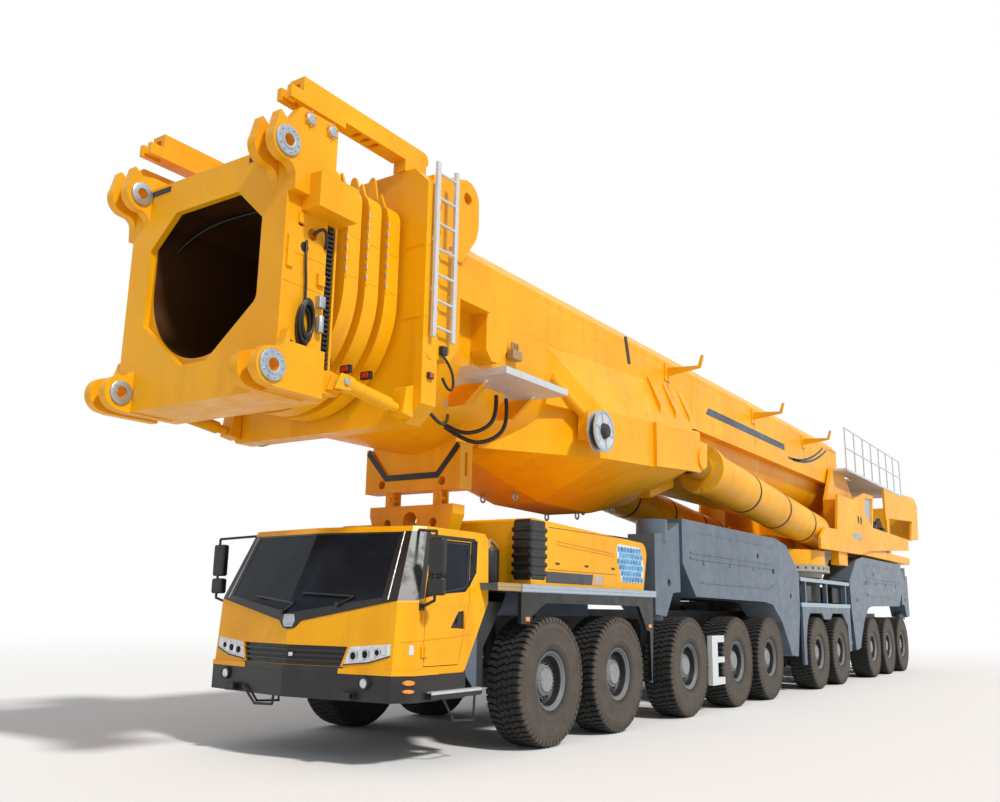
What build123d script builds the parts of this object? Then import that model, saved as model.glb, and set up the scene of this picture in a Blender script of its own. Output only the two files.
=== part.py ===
"""Ten-axle mobile crane: carrier, slewing superstructure and telescopic boom in its travelling position.

Millimetres.  X is to the crane's left, Y runs rearwards from the first axle, Z is up from the ground.
save() moves each piece so that the origin is on the ground under the middle of the crane's length.
A pair such as (900, 1200) is a low and a high place on one axis.
"""

import os
from math import atan2, cos, degrees, hypot, radians, sin

from build123d import *

# ---------------------------------------------------------------- overall and fits
TAIL_END = 23250              # rear of the superstructure
RUNNING_GAP = 6               # between pieces that move past each other
SEAT_GAP = 0.3                # between a piece and the bearing or pad that carries it

# ---------------------------------------------------------------- wheels and axles
AXLE_Y = [0, 1740, 4130, 6200, 7940, 11180, 12920, 16080, 17820, 19560]
STEERED_AXLES = 4
TYRE_R = 745
TYRE_WIDTH = 470
WHEEL_X = 1465                # middle of the tyre's width
RIM_R = 320
RECESS_R = 285                # dish on the inner side of the wheel
DISC_INNER = -40              # inner face of the wheel disc, from the tyre's middle
HUB_R = 175
KINGPIN_X = 1100
KINGPIN_R = 65
DRUM_R = 195
SPINDLE_R = 120
BEAM_HALF_HEIGHT = 115
BEAM_HALF_DEPTH = 130
YOKE_INNER = 205              # half the height between the two ears of a steered axle's end
YOKE_THICK = 55
STRUT_X = 790
STRUT_R = 80

# ---------------------------------------------------------------- carrier frame
FRAME_HALF = 620
FRAME_Z = (980, 1580)
FRAME_REAR = 21100
NECK_HALF = 450
RING_Y = 12100
RING_R = 1680
RING_BORE_R = 1250
RING_Z = (2350, 2620)
TURRET_R = 1450
DECK_THICK = 80

# ---------------------------------------------------------------- cab
CAB_WALL = 55
CAB_GAP = 8                   # round each door
# columns: height, half width, rear y, front y at the side, corner x
CAB_LEVELS = [(900, 1450, -1450, -2300, 1320), (1620, 1450, -1240, -2250, 1320), (2420, 1290, -1010, -1950, 1200)]
CORNER_SLOPE = 1.4            # forward per sideways, on the cab's front corners
FRONT_SLOPE = 0.145           # the same on the two halves of its front
DOOR_OUTLINE = [(-2140, 985), (-2140, 1640), (-1880, 2300), (-1180, 2300), (-1560, 985)]
DOOR_WINDOW = [(-2070, 1600), (-1850, 2225), (-1290, 2225), (-1310, 1800), (-1440, 1640)]
GLASS_THICK = 12
FACE_RECESS = 40              # depth of the grille and the lamp pockets
# outlines on the cab's front, as (x, z)
GRILLE = [(0, 965), (705, 965), (775, 1165), (0, 1165)]
LAMP_POCKET = [(745, 985), (1050, 1020), (1280, 1090), (1280, 1205), (810, 1165)]
LAMPS = [(860, 1080, 62), (1000, 1100, 62), (1140, 1118, 50)]   # lens places and radius
SLAT_Z = (1015, 1065, 1115)
HANDLE_POCKET = [(-1700, 1360), (-1570, 1530), (-1460, 1540), (-1450, 1350)]
HINGE_AXIS = (1474, -2150)
HINGE_Z = (1080, 1430)
HINGE_TALL = 100

# ---------------------------------------------------------------- engine hood, catwalks, boom rest
HOOD_HALF = 1550
HOOD_Y = (-270, 2810)
HOOD_LEAN = 150               # how far the rear leans back at its top
WALK_TOP = 1850
HOOD_Z = (WALK_TOP + SEAT_GAP, 2650)
HOOD_REAR_DROP = 120
SHEET = 40
WALK_X = (700, 1650)
WALK_FRONT = -1120
# lower edge of the front skirts, from the front over two wheels, as (y, z)
SKIRT = [(-630, 1400), (-440, 1400), (-380, 1500), (-90, 1640), (2440, 1630), (2690, 1300), (2790, 1280),
         (2830, 570), (2850, 570), (2900, 1280)]
MUDGUARD_X = (1100, 1440)
MID_DECK_Y = (10190, 14030)
MID_DECK_Z = (1700, 1780)
MID_TOP_Z = (2220, 2300)
CHOCK_RACK_Y = (4905, 5440)   # rack for wheel chocks between the third and fourth wheels
CHOCK_RACK_X = (1660, 1740)
CHOCK_RACK_Z = (420, 1190)
REST_Y = (-690, -440)
REST_HALF = 770
# the cradle's V from its flat bottom to its arm's tip, as (x, z)
REST_V = [(400, 3230), (720, 3585)]
REST_BASE_TOP = 2820
REST_BOTTOM = 3000

# ---------------------------------------------------------------- outriggers
OUTRIGGER_X = (990, 1650)
OUTRIGGER_PIVOT_Y = 9620
OUTRIGGER_MID_Y = 12110       # rear pair mirrors the front pair about this plane
OUTRIGGER_TOP = 3000
OUTRIGGER_PIN_R = 100
JACK = (1400, 3440)            # jack's axis, as (x, y)
JACK_R = 220
EAR_Z = (1350, 1600)

# ---------------------------------------------------------------- boom
PIVOT_Y = 14900
PIVOT_Z = 4950
PIVOT_PIN_R = 150
BOOM_CENTRE_Z = 4820          # centre of the round underside
BOOM_HALF = 1220
BOOM_TOP = 5970
BOOM_CORNER = 230
BOOM_TUBE_R = 1020            # lower tube beside the cylinders
BELLY_CENTRE_Z = 4700         # centre of the deeper front part of the base section
BELLY_REAR = 4700
LEDGE_Z = 4760
BOOM_BORE = 990
BOOM_BORE_TOP = 5900
BOOM_REAR = 15300
NEST_WALL = 20
NEST_GAP = 15
# columns: name, front of the collar
SECTIONS = [("boom_section_1", -2700), ("boom_section_2", -3010), ("boom_section_3", -3320)]
COLLAR_THICK = 205
COLLAR_R = 1200
HORN_THICK = 30               # pointed plate at each top corner of a collar
SECTION_REAR = 13900
HOOK_ARM_Y = (4500, 8800, 12300)
REEL = (1300, 3950)           # hose reel's axle on the left of the belly, as (y, z)
REEL_ARM_X = (1380, 1520)
BASE_COLLAR_Y = (-2420, -2170)
BASE_COLLAR_HALF = 1520
BASE_COLLAR_Z = (3460, 6370)
FLANK_BOX_X = 1500            # outer side of the stiffening boxes behind the collar
HEAD_Y = (-4150, -3450)
HEAD_HALF = 1200
HEAD_Z = (3500, 5980)
# half outline of the mouth from bottom to top, as (x, z)
MOUTH = [(200, 3900), (870, 4420), (870, 5250), (480, 5610)]
MOUTH_LIP = 70                # thickness of the plate that the mouth is cut in
LUG_Y = -4280
LUG_Z = (3680, 5880)
LUG_PLATES = [(940, 1050), (1190, 1300)]   # inner and outer plate of each fork
LUG_BOSS = 18                 # boss round each bore, proud of the outer plate
LUG_R = 180
LUG_BORE_R = 60
MID_Y = (LUG_Y - LUG_R + TAIL_END) / 2

# ---------------------------------------------------------------- luffing cylinders
CYL_X = 1280
CYL_BASE = (13000, 3400)
CYL_BASE_PIN_R = 130
CYL_EYE = (5100, 4100)
BARREL_R = 400
GLAND_R = 440
ROD_R = 220
ROD_EYE_R = 230
ROD_EYE_X = (CYL_X - ROD_R, CYL_X + ROD_R)

# ---------------------------------------------------------------- superstructure
SLEW_BOTTOM = RING_Z[1] + SEAT_GAP
FLOOR_Z = (3060, 3260)
CHEEK_X = (1260, 1340)
SIDE_X = (1690, 1750)
NOSE_HALF = 800
POST_TOP = 2950
CROSS_WALL_Y = (16300, 16400)
TAIL_X = (1630, 1690)
WINCH_Y = (19700, 20800)
WINCH_Z = 4000
WINCH_R = 480
WALKWAY_Z = (5100, 5160)
WALKWAY_Y = (14400, 20900)


# ================================================================ helpers
def block(x, y, z):
    """Box between a low and a high place on each axis."""
    pairs = (x, y, z)
    middle = [(low + high) / 2 for low, high in pairs]
    return Pos(*middle) * Box(*[high - low for low, high in pairs])


def side_plate(outline, x):
    """Outline of (y, z) points, as thick as the x pair."""
    face = make_face(Polyline([(x[0], y, z) for y, z in outline], close=True))
    return extrude(face, amount=x[1] - x[0], dir=(1, 0, 0))


def front_plate(outline, y):
    """Outline of (x, z) points, as thick as the y pair."""
    face = make_face(Polyline([(x, y[0], z) for x, z in outline], close=True))
    return extrude(face, amount=y[1] - y[0], dir=(0, 1, 0))


def plan_plate(outline, z):
    """Outline of (x, y) points, as thick as the z pair."""
    face = make_face(Polyline([(x, y, z[0]) for x, y in outline], close=True))
    return extrude(face, amount=z[1] - z[0], dir=(0, 0, 1))


def rounded_plate(outline, x):
    """Side plate drawn as (y, z, corner radius) points."""
    path = FilletPolyline(*[(x[0], y, z) for y, z, _ in outline], radius=[r for _, _, r in outline], close=True)
    return extrude(make_face(path), amount=x[1] - x[0], dir=(1, 0, 0))


def stacked(rings):
    """Solid through planar rings of as many points each, its sides in flat triangles."""
    faces = [make_face(Polyline(ring, close=True)) for ring in (rings[0], rings[-1])]
    for near, far in zip(rings, rings[1:]):
        for i in range(len(near)):
            faces.append(make_face(Polyline([near[i - 1], near[i], far[i]], close=True)))
            faces.append(make_face(Polyline([near[i - 1], far[i], far[i - 1]], close=True)))
    return Part() + Solid(Shell([face.face() for face in faces]))


def bar(start, end, radius):
    """Round bar between two points."""
    start, end = Vector(*start), Vector(*end)
    return Part(Solid.make_cylinder(radius, (end - start).length, Plane(start, z_dir=end - start)).wrapped)


def pin_x(y, z, radius, x):
    return bar((x[0], y, z), (x[1], y, z), radius)


def pin_y(x, z, radius, y):
    return bar((x, y[0], z), (x, y[1], z), radius)


def post(x, y, radius, z):
    return bar((x, y, z[0]), (x, y, z[1]), radius)


def flip(shape):
    """The same piece on the crane's other side."""
    return mirror(shape, about=Plane.YZ)


def both(shape):
    return shape + flip(shape)


def grown_outline(outline, gap):
    """Straight-sided outline of point pairs, each side moved outwards by gap."""
    count = len(outline)
    area = sum(outline[i - 1][0] * outline[i][1] - outline[i][0] * outline[i - 1][1] for i in range(count))
    outward = gap if area > 0 else -gap
    sides = []
    for i in range(count):
        (ax, ay), (bx, by) = outline[i - 1], outline[i]
        length = hypot(bx - ax, by - ay)
        nx, ny = (by - ay) / length, (ax - bx) / length
        sides.append((nx, ny, nx * ax + ny * ay + outward))
    points = []
    for i in range(count):
        (a, b, c), (d, e, f) = sides[i], sides[(i + 1) % count]
        across = a * e - b * d
        points.append(((c * e - b * f) / across, (a * f - c * d) / across))
    return points


def mirrored_outline(half):
    """Closes an outline given for x >= 0 from bottom to top by its mirror image."""
    return half + [(-x, z) for x, z in reversed(half) if x > 0]


def save(name, shape):
    export_step(Pos(0, -MID_Y, 0) * shape, f"parts/{name}.step")


# ================================================================ wheels, knuckles and axles
def wheel():
    """Tyre, rim and hub, turned about X; outer side towards +X."""
    half = TYRE_WIDTH / 2
    bead = half - 45
    profile = [
        (bead + 10, RIM_R), (bead, RIM_R + 30), (half, 520), (half - 5, 690), (half - 45, TYRE_R),
        (-half + 45, TYRE_R), (-half + 5, 690), (-half, 520), (-bead, RIM_R),
        (DISC_INNER, RECESS_R), (DISC_INNER, 0), (150, 0), (150, HUB_R - 25), (60, HUB_R),
        (60, RECESS_R),
    ]
    face = make_face(Polyline([(x, 0, r) for x, r in profile], close=True))
    return revolve(face, axis=Axis.X)


def wheels():
    left = wheel()
    for number, y in enumerate(AXLE_Y, 1):
        save(f"wheel_{number}_left", Pos(WHEEL_X, y, TYRE_R) * left)
        save(f"wheel_{number}_right", Pos(-WHEEL_X, y, TYRE_R) * Rot(0, 0, 180) * left)


def knuckle(y):
    """Kingpin, brake drum and spindle of a steered wheel on the left."""
    disc_x = WHEEL_X + DISC_INNER
    kingpin_half = YOKE_INNER - SEAT_GAP
    shape = post(KINGPIN_X, y, KINGPIN_R, (TYRE_R - kingpin_half, TYRE_R + kingpin_half))
    shape += pin_x(y, TYRE_R, SPINDLE_R, (KINGPIN_X, disc_x - SEAT_GAP))
    shape += pin_x(y, TYRE_R, DRUM_R, (KINGPIN_X + 70, disc_x - 60))
    return shape


def knuckles():
    for number in range(1, STEERED_AXLES + 1):
        left = knuckle(AXLE_Y[number - 1])
        save(f"knuckle_{number}_left", left)
        save(f"knuckle_{number}_right", flip(left))


def axle_beam(y, steered):
    """Beam with its drive case and struts; yokes for kingpins or drums at its ends."""
    beam_z = (TYRE_R - BEAM_HALF_HEIGHT, TYRE_R + BEAM_HALF_HEIGHT)
    beam_end = KINGPIN_X - KINGPIN_R - 50
    deep = (y - BEAM_HALF_DEPTH, y + BEAM_HALF_DEPTH)
    shape = block((-beam_end, beam_end), deep, beam_z)
    shape += pin_y(0, TYRE_R, 215, (y - 260, y + 260))
    if steered:
        for sign in (-1, 1):
            near, far = sign * YOKE_INNER, sign * (YOKE_INNER + YOKE_THICK)
            ear_z = (TYRE_R + min(near, far), TYRE_R + max(near, far))
            shape += both(block((beam_end - 140, KINGPIN_X + 80), (y - 85, y + 85), ear_z))
        shape += both(block((beam_end - 140, beam_end), (y - 85, y + 85),
                            (TYRE_R - YOKE_INNER, TYRE_R + YOKE_INNER)))
    else:
        disc_x = WHEEL_X + DISC_INNER
        shape += both(pin_x(y, TYRE_R, SPINDLE_R, (beam_end, disc_x - SEAT_GAP)))
        shape += both(pin_x(y, TYRE_R, DRUM_R, (KINGPIN_X + 70, disc_x - 60)))
    strut = post(STRUT_X, y, STRUT_R, (beam_z[1] - 40, 1380))
    strut += block((FRAME_HALF + SEAT_GAP, STRUT_X + STRUT_R), (y - 110, y + 110), (1380, 1440))
    return shape + both(strut)


def axle_beams():
    shapes = [axle_beam(y, number < STEERED_AXLES) for number, y in enumerate(AXLE_Y)]
    save("axle_beams", Compound([solid for shape in shapes for solid in shape.solids()]))


# ================================================================ carrier frame
def outrigger_pivots():
    """Ears with vertical pins that carry the four swinging outriggers, as (x, y) places."""
    x = sum(OUTRIGGER_X) / 2
    rear = 2 * OUTRIGGER_MID_Y - OUTRIGGER_PIVOT_Y
    return [(x, OUTRIGGER_PIVOT_Y), (x, rear)]


def chock_rack():
    """Rack for wheel chocks: a post with three shelves, on an arm from the frame."""
    (y0, y1), (low, high) = CHOCK_RACK_Y, CHOCK_RACK_Z
    shape = block(CHOCK_RACK_X, (y0, y0 + 240), CHOCK_RACK_Z)
    for z in ((low, low + 110), (low + 345, low + 430), (high - 105, high)):
        shape += block(CHOCK_RACK_X, (y0, y1), z)
    return shape + bar((FRAME_HALF - 20, y0 + 150, high - 60), (CHOCK_RACK_X[0] + 10, y0 + 150, high - 60), 30)


def chassis_frame():
    low, high = FRAME_Z
    side = [(-2350, 620), (-1250, 620), (-700, low), (FRAME_REAR, low), (FRAME_REAR, high),
            (-1000, high), (-1200, 860), (-2350, 860)]
    shape = side_plate(side, (-NECK_HALF, NECK_HALF))
    shape += block((-FRAME_HALF, FRAME_HALF), (-700, FRAME_REAR), FRAME_Z)
    shape += post(0, RING_Y, TURRET_R, (high - 20, RING_Z[0]))
    for x, y in outrigger_pivots():
        ear = block((FRAME_HALF - 20, x), (y - 280, y + 280), EAR_Z)
        ear += post(x, y, 280, EAR_Z)
        ear += post(x, y, OUTRIGGER_PIN_R, (1000, 1950))
        shape += both(ear)
    shape += both(chock_rack())
    save("chassis_frame", shape)
    ring = post(0, RING_Y, RING_R, (RING_Z[1] - 150, RING_Z[1])) + post(0, RING_Y, TURRET_R + 60, RING_Z)
    save("slewing_ring", ring - post(0, RING_Y, RING_BORE_R, (RING_Z[0] - 1, RING_Z[1] + 1)))


# ================================================================ cab
def cab_plan(half, rear, side_front, corner_x):
    """Plan outline of the cab's pointed front and straight sides."""
    corner_y = side_front - CORNER_SLOPE * (half - corner_x)
    right = [(half, rear), (half, side_front), (corner_x, corner_y), (0, corner_y - FRONT_SLOPE * corner_x)]
    return right + [(-x, y) for x, y in reversed(right) if x > 0]


def cab_level(level, inset):
    """Corner points of the cab at one height, drawn in from the outer skin by inset."""
    z, *plan = level
    return [(x, y, z) for x, y in grown_outline(cab_plan(*plan), -inset)]


def cab_body(inset, floor, roof):
    """Solid of the cab's outer form, drawn in by inset, between floor and roof heights."""
    rings = [cab_level(level, inset) for level in CAB_LEVELS]
    faces = [make_face(Polyline(ring, close=True)) for ring in (rings[0], rings[-1])]
    for below, above in zip(rings, rings[1:]):
        for i in range(len(below)):
            faces.append(make_face(Polyline([below[i - 1], below[i], above[i], above[i - 1]], close=True)))
    shape = Part() + Solid(Shell([face.face() for face in faces]))
    return shape & block((-2000, 2000), (-3000, 0), (floor, roof))


def windscreen_prism(margin):
    """What the windscreen opening cuts from the front wall, seen from the front."""
    outline = mirrored_outline([(0, 1480 - margin), (1150 + margin, 1660 - margin),
                                (1080 + margin, 2340 + margin)])
    return front_plate(outline, (-3000, -1860))


def door_hinge(z):
    """Left door's hinge with its foot at z: the pin on the cab and the sleeve on the door."""
    x, y = HINGE_AXIS
    top = z + HINGE_TALL
    leaf = block((CAB_LEVELS[0][1] - 10, x), (y - 50, y), (z, top))
    leaf -= post(x, y, 24, (z + 15, top - 15))
    pin = leaf + post(x, y, 9, (z, top)) + post(x, y, 16, (z, z + 15)) + post(x, y, 16, (top - 15, top))
    inner_z = (z + 15 + SEAT_GAP, top - 15 - SEAT_GAP)
    sleeve = post(x, y, 16, inner_z) + block((x - 16, x + 16), (y, y + 50), inner_z)
    sleeve += block((CAB_LEVELS[0][1] - 5, x), (y + 12, y + 50), inner_z)
    sleeve -= post(x, y, 9 + SEAT_GAP, (z, top))
    return pin, sleeve


def cab_face(shell):
    """Cuts the grille and the lamp pockets into the cab's front and puts the slats and lenses in."""
    low, high = CAB_LEVELS[0][0], CAB_LEVELS[-1][0]
    front = (-2900, -1900)
    floor = cab_body(FACE_RECESS, low, high)
    grille = front_plate(mirrored_outline(GRILLE), front)
    pocket = front_plate(LAMP_POCKET, front)
    shell -= (grille + both(pocket)) - floor
    slats = Part()
    for z in SLAT_Z:
        slats += block((-800, 800), front, (z - 10, z + 10))
    shell += (slats & grille & cab_body(6, low, high)) - cab_body(FACE_RECESS + 1, low, high)
    lenses = Part()
    for x, z, radius in LAMPS:
        lenses += pin_y(x, z, radius, front)
    shell += both((lenses & pocket & cab_body(5, low, high)) - cab_body(FACE_RECESS + 1, low, high))
    lip = (cab_body(-20, low, low + 50) - cab_body(5, low, low + 50)) & block((700, 1500), front, (low, low + 50))
    return shell + both(lip)


def cab():
    low, high = CAB_LEVELS[0][0], CAB_LEVELS[-1][0]
    outer = cab_body(0, low, high)
    inner = cab_body(CAB_WALL, low + 80, high - 60)
    shell = outer - inner
    grown = grown_outline(DOOR_OUTLINE, CAB_GAP)
    opening = side_plate(grown, (1100, 1700))
    door_zone = side_plate(DOOR_OUTLINE, (1100, 1700))
    door = (shell & door_zone) - side_plate(DOOR_WINDOW, (1000, 1800))
    rear_window = block((-900, 900), (-1500, -900), (1750, 2250))
    for cut in (opening, flip(opening), windscreen_prism(0), rear_window):
        shell -= cut
    skin = cab_body(0, low, high) - cab_body(6, low, high)
    seam = side_plate([(-2400, 1217), (-1200, 1284), (-1200, 1294), (-2400, 1227)], (1300, 1700)) & skin
    shell = cab_face(shell) - both(seam)
    handle = side_plate(HANDLE_POCKET, (1300, 1600)) - cab_body(CAB_WALL - 25, low, high)
    door -= handle + seam
    for z in HINGE_Z:
        pin, sleeve = door_hinge(z)
        shell += both(pin)
        door += sleeve
    save("cab_shell", shell)
    save("cab_door_left", door)
    save("cab_door_right", flip(door))
    mid = CAB_WALL / 2
    pane = cab_body(mid - GLASS_THICK / 2, low + 80, high - 60) - cab_body(mid + GLASS_THICK / 2, low, high)
    glass = (pane & windscreen_prism(-SEAT_GAP)) + (pane & block((-899.7, 899.7), (-1500, -900), (1750.3, 2249.7)))
    save("cab_glass", glass)


def cab_interior():
    floor = CAB_LEVELS[0][0] + 80
    seat = block((430, 950), (-1960, -1530), (floor, 1350)) + block((430, 950), (-1630, -1530), (1350, 1950))
    shape = both(seat)
    shape += block((-1250, 1250), (-2330, -2080), (floor, 1520))
    shape += bar((690, -2090, 1480), (690, -1940, 1620), 30)
    shape += bar((690, -1955, 1606), (690, -1935, 1624), 210)
    save("cab_interior", shape)


def front_bumper():
    """Skirt under the cab with fog lamps, tow eyes, a tread and two folding steps."""
    bottom, half, rear, side_front, corner_x = CAB_LEVELS[0]
    plan = cab_plan(half, rear, side_front, corner_x)
    top, low = bottom - SEAT_GAP, 640
    skirt = plan_plate(grown_outline(plan, 15), (low, top)) - plan_plate(grown_outline(plan, -60), (low - 40, top - 60))
    skirt -= block((-NECK_HALF - SEAT_GAP, NECK_HALF + SEAT_GAP), (-2360, -1200), (600, 1000))
    fog = pin_y(1030, 820, 62, (-2570, -2440)) - pin_y(1030, 820, 50, (-2580, -2555))
    tow = block((790, 920), (-2650, -2500), (650, 730)) - pin_x(-2605, 690, 24, (780, 930))
    tread = block((half, half + 75), (-2090, -1220), (660, 725))
    skirt += both(fog + tow + tread)
    step = [(half + 40, -1860, 670), (half + 40, -1660, 430), (half + 40, -1310, 410), (half + 40, -1290, 670)]
    nose = [(-670, -2620, 720), (-430, -2650, 540), (-160, -2650, 550), (-170, -2620, 740)]
    for start, end in zip(step, step[1:]):
        skirt += both(bar(start, end, 13))
    for start, end in zip(nose, nose[1:]):
        skirt += bar(start, end, 14)
    for x, y, z in step[1:3]:
        skirt += both(pin_x(y, z, 13, (x - 13, x + 13)))
    save("front_bumper", skirt)


def mirrors():
    """Wide and narrow mirror housings on a bent tube that stands on the cab's front corner."""
    x, y = 1660, -2260
    foot = block((CAB_LEVELS[0][1] + SEAT_GAP, 1475), (-2245, -2185), (1540, 1610))
    tube = [(1470, -2215, 1575), (x, y, 1640), (x, y, 2335), (1262, -2047, 2375)]
    shape = foot
    for start, end in zip(tube, tube[1:]):
        shape += bar(start, end, 15)
    for z in ((1690, 1870), (1895, 2270)):
        housing = Pos(x, y + 30, sum(z) / 2) * Box(190, 90, z[1] - z[0])
        shape += fillet(housing.edges(), 28)
    save("cab_mirrors", both(shape))


# ================================================================ hood, catwalks, boom rest
def engine_hood():
    """Sheet hood, open below, with louvres and a swage line on each side."""
    y0, y1 = HOOD_Y
    z0, z1 = HOOD_Z
    rear_z = z1 - HOOD_REAR_DROP
    outer = rounded_plate([(y0, z0, 0), (y0, z1, 40), (y1 + HOOD_LEAN, rear_z, 170), (y1, z0, 0)],
                          (-HOOD_HALF, HOOD_HALF))
    inner = rounded_plate([(y0 + SHEET, z0 - 1, 0), (y0 + SHEET, z1 - SHEET, 20),
                           (y1 + HOOD_LEAN - SHEET - 12, rear_z - SHEET, 130), (y1 - SHEET, z0 - 1, 0)],
                          (-HOOD_HALF + SHEET, HOOD_HALF - SHEET))
    swage = side_plate([(330, 2405), (1900, 2330), (1900, 2345), (330, 2430)], (HOOD_HALF - 5, HOOD_HALF + 9))
    swage += side_plate([(330, 2360), (1900, 2295), (1900, 2310), (330, 2385)], (HOOD_HALF - 5, HOOD_HALF + 9))
    shape = (outer - inner) + both(swage)
    louvres = 5
    for n in range(louvres):
        low = 1985 + 100 * n
        shape -= block((-HOOD_HALF - 1, HOOD_HALF + 1), (y0 + 60, y0 + 330), (low, low + 38))
    save("engine_hood", shape)
    save("engine_block", block((-550, 550), (200, 2200), (FRAME_Z[1], 2450)))


def mudguard():
    """Bent sheet before the first left wheel, hung from the walkway, with a side flap towards the cab."""
    deck = WALK_TOP - DECK_THICK + 1
    sheet = side_plate([(-1090, 660), (-1090, 1155), (-700, 1645), (-640, deck), (-628, deck), (-688, 1640),
                        (-1078, 1150), (-1078, 660)], MUDGUARD_X)
    flap = side_plate([(-1090, 660), (-1180, 660), (-1415, 880), (-1205, 1645), (-700, 1645), (-1090, 1155)],
                      (MUDGUARD_X[1] - 14, MUDGUARD_X[1]))
    return sheet + flap


def catwalks():
    """Walkways with their edge profiles and skirts beside the hood and under the slewing ring."""
    inner, outer = WALK_X
    y0, y1 = SKIRT[0][0], SKIRT[-1][0] + 70
    deck_z = (WALK_TOP - DECK_THICK, WALK_TOP)
    front = block(WALK_X, (WALK_FRONT, y1), deck_z)
    front += block((outer - 20, outer + 15), (y0, y1), (WALK_TOP - 40, WALK_TOP))
    front += side_plate([(y0, WALK_TOP - 20)] + SKIRT + [(y1 - 70, WALK_TOP - 20)], (outer - 50, outer))
    front += block((FRAME_HALF, inner + 60), (0, y1 - 400), (1480, deck_z[0] + 1)) + mudguard()
    m0, m1 = MID_DECK_Y
    shelf_low = MID_DECK_Z[0]
    middle = block((FRAME_HALF, outer), (m0, m1), MID_DECK_Z) + block((1300, outer), (m0, m1), MID_TOP_Z)
    for y in (m0 + 300, (m0 + m1) / 2, m1 - 300):
        middle += block((1560, outer), (y - 40, y + 40), (MID_DECK_Z[1] - 10, MID_TOP_Z[0] + 10))
        middle += block((FRAME_HALF, 1100), (y - 40, y + 40), (1480, shelf_low + 10))
    arches = [(m0, shelf_low + 10), (m0, 530), (m0 + 190, 530), (m0 + 190, 1000), (m0 + 290, 1300)]
    for y in AXLE_Y[5:7]:
        arches += [(y - 620, 1440), (y - 450, 1570), (y + 450, 1570), (y + 620, 1440)]
    arches += [(m1 - 280, 1300), (m1 - 210, 700), (m1, 700), (m1, shelf_low + 10)]
    middle += side_plate(arches, (outer - 50, outer))
    middle -= post(0, RING_Y, TURRET_R + SEAT_GAP, (1400, MID_TOP_Z[1] + 40))
    save("catwalks", both(front + middle))


def cradle_outline():
    """The V that the boom's foot lies in, from the middle outwards and down to its bottom."""
    inner, tip = REST_V
    return mirrored_outline([(0, REST_BOTTOM), (REST_HALF, REST_BOTTOM), (REST_HALF, tip[1]), tip, inner, (0, inner[1])])


def boom_rest():
    y0, y1 = REST_Y
    cradle = front_plate(cradle_outline(), REST_Y) - both(pin_y(490, REST_BOTTOM + 110, 55, (y0 - 10, y1 + 10)))
    slot = block((REST_HALF - 40, REST_HALF + 10), ((y0 + y1) / 2 - 28, (y0 + y1) / 2 + 28), (3170, 3460))
    cradle -= both(slot)
    links = Part()
    for y in (y0 + 40, y1 - 70):
        links += both(block((330, 450), (y, y + 30), (REST_BASE_TOP - 10, REST_BOTTOM + 10)))
    links += both(pin_y(390, (REST_BASE_TOP + REST_BOTTOM) / 2, 40, (y0 + 20, y1 - 20)))
    base = front_plate(mirrored_outline([(0, FRAME_Z[1]), (450, FRAME_Z[1]), (480, 2300), (590, 2480), (670, 2700),
                                         (670, REST_BASE_TOP)]), REST_Y)
    base -= pin_y(0, 2630, 110, (y0 - 10, y1 + 10)) + both(pin_y(370, 2600, 55, (y0 - 10, y1 + 10)))
    save("boom_rest", cradle + links + base)


# ================================================================ outriggers
def outrigger():
    """Front left outrigger: ribbed arm, pivot leg, jack housing and jack in one weldment."""
    (x, pivot_y), _ = outrigger_pivots()
    inner, outer = OUTRIGGER_X
    top, leg_y = OUTRIGGER_TOP, pivot_y + 440
    arm = side_plate([(4020, top), (8600, top), (9300, 2900), (leg_y, 2360), (leg_y - 60, 1560), (leg_y - 290, 710),
                      (9340, 750), (9230, 930), (8830, 1390), (8300, 1720), (7860, 1765), (4530, 1800), (4360, 1960),
                      (4020, 2310)], OUTRIGGER_X)
    arm -= block((inner - 10, x + 290 + RUNNING_GAP), (9100, leg_y + 10),
                 (EAR_Z[0] - RUNNING_GAP, EAR_Z[1] + RUNNING_GAP))
    arm += post(x, pivot_y, 330, (860, EAR_Z[0] - RUNNING_GAP)) + post(x, pivot_y, 330, (EAR_Z[1] + RUNNING_GAP, 2450))
    arm -= post(x, pivot_y, OUTRIGGER_PIN_R + 0.5, (800, 1950 + RUNNING_GAP))
    face = (outer - 5, outer + 12)
    for low in (2385, 2475):
        arm += side_plate([(4330, low), (8290, low), (8290, low + 28), (4330, low + 28)], face)
    arm += side_plate([(4790, 2020), (8230, 2010), (8350, 2075), (8350, 2095), (8225, 2030), (4790, 2040)], face)
    for y, z, radius in ((7540, 2600, 55), (8390, 2350, 55), (9440, 1900, 50)):
        arm -= pin_x(y, z, radius, (outer - 60, outer + 1))
    jack_x, jack_y = JACK
    jack = side_plate([(3060, 2700), (3440, 2730), (3980, 2935), (3980, 1860), (3700, 1840), (3440, 1490), (3060, 1520)],
                      (jack_x - JACK_R, outer - 30))
    jack += post(jack_x, jack_y, JACK_R + 20, (2600, 2935)) + post(jack_x, jack_y, 150, (1430, 1600))
    jack += block((jack_x - JACK_R, outer - 60), (3970, 4030), (2320, 2920))
    jack -= pin_x(3560, 1990, 55, (outer - 90, outer))
    return arm + jack


def outriggers():
    front_left = outrigger()
    rear_left = mirror(front_left, about=Plane((0, OUTRIGGER_MID_Y, 0), z_dir=(0, 1, 0)))
    save("outrigger_front_left", front_left)
    save("outrigger_front_right", flip(front_left))
    save("outrigger_rear_left", rear_left)
    save("outrigger_rear_right", flip(rear_left))


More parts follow.
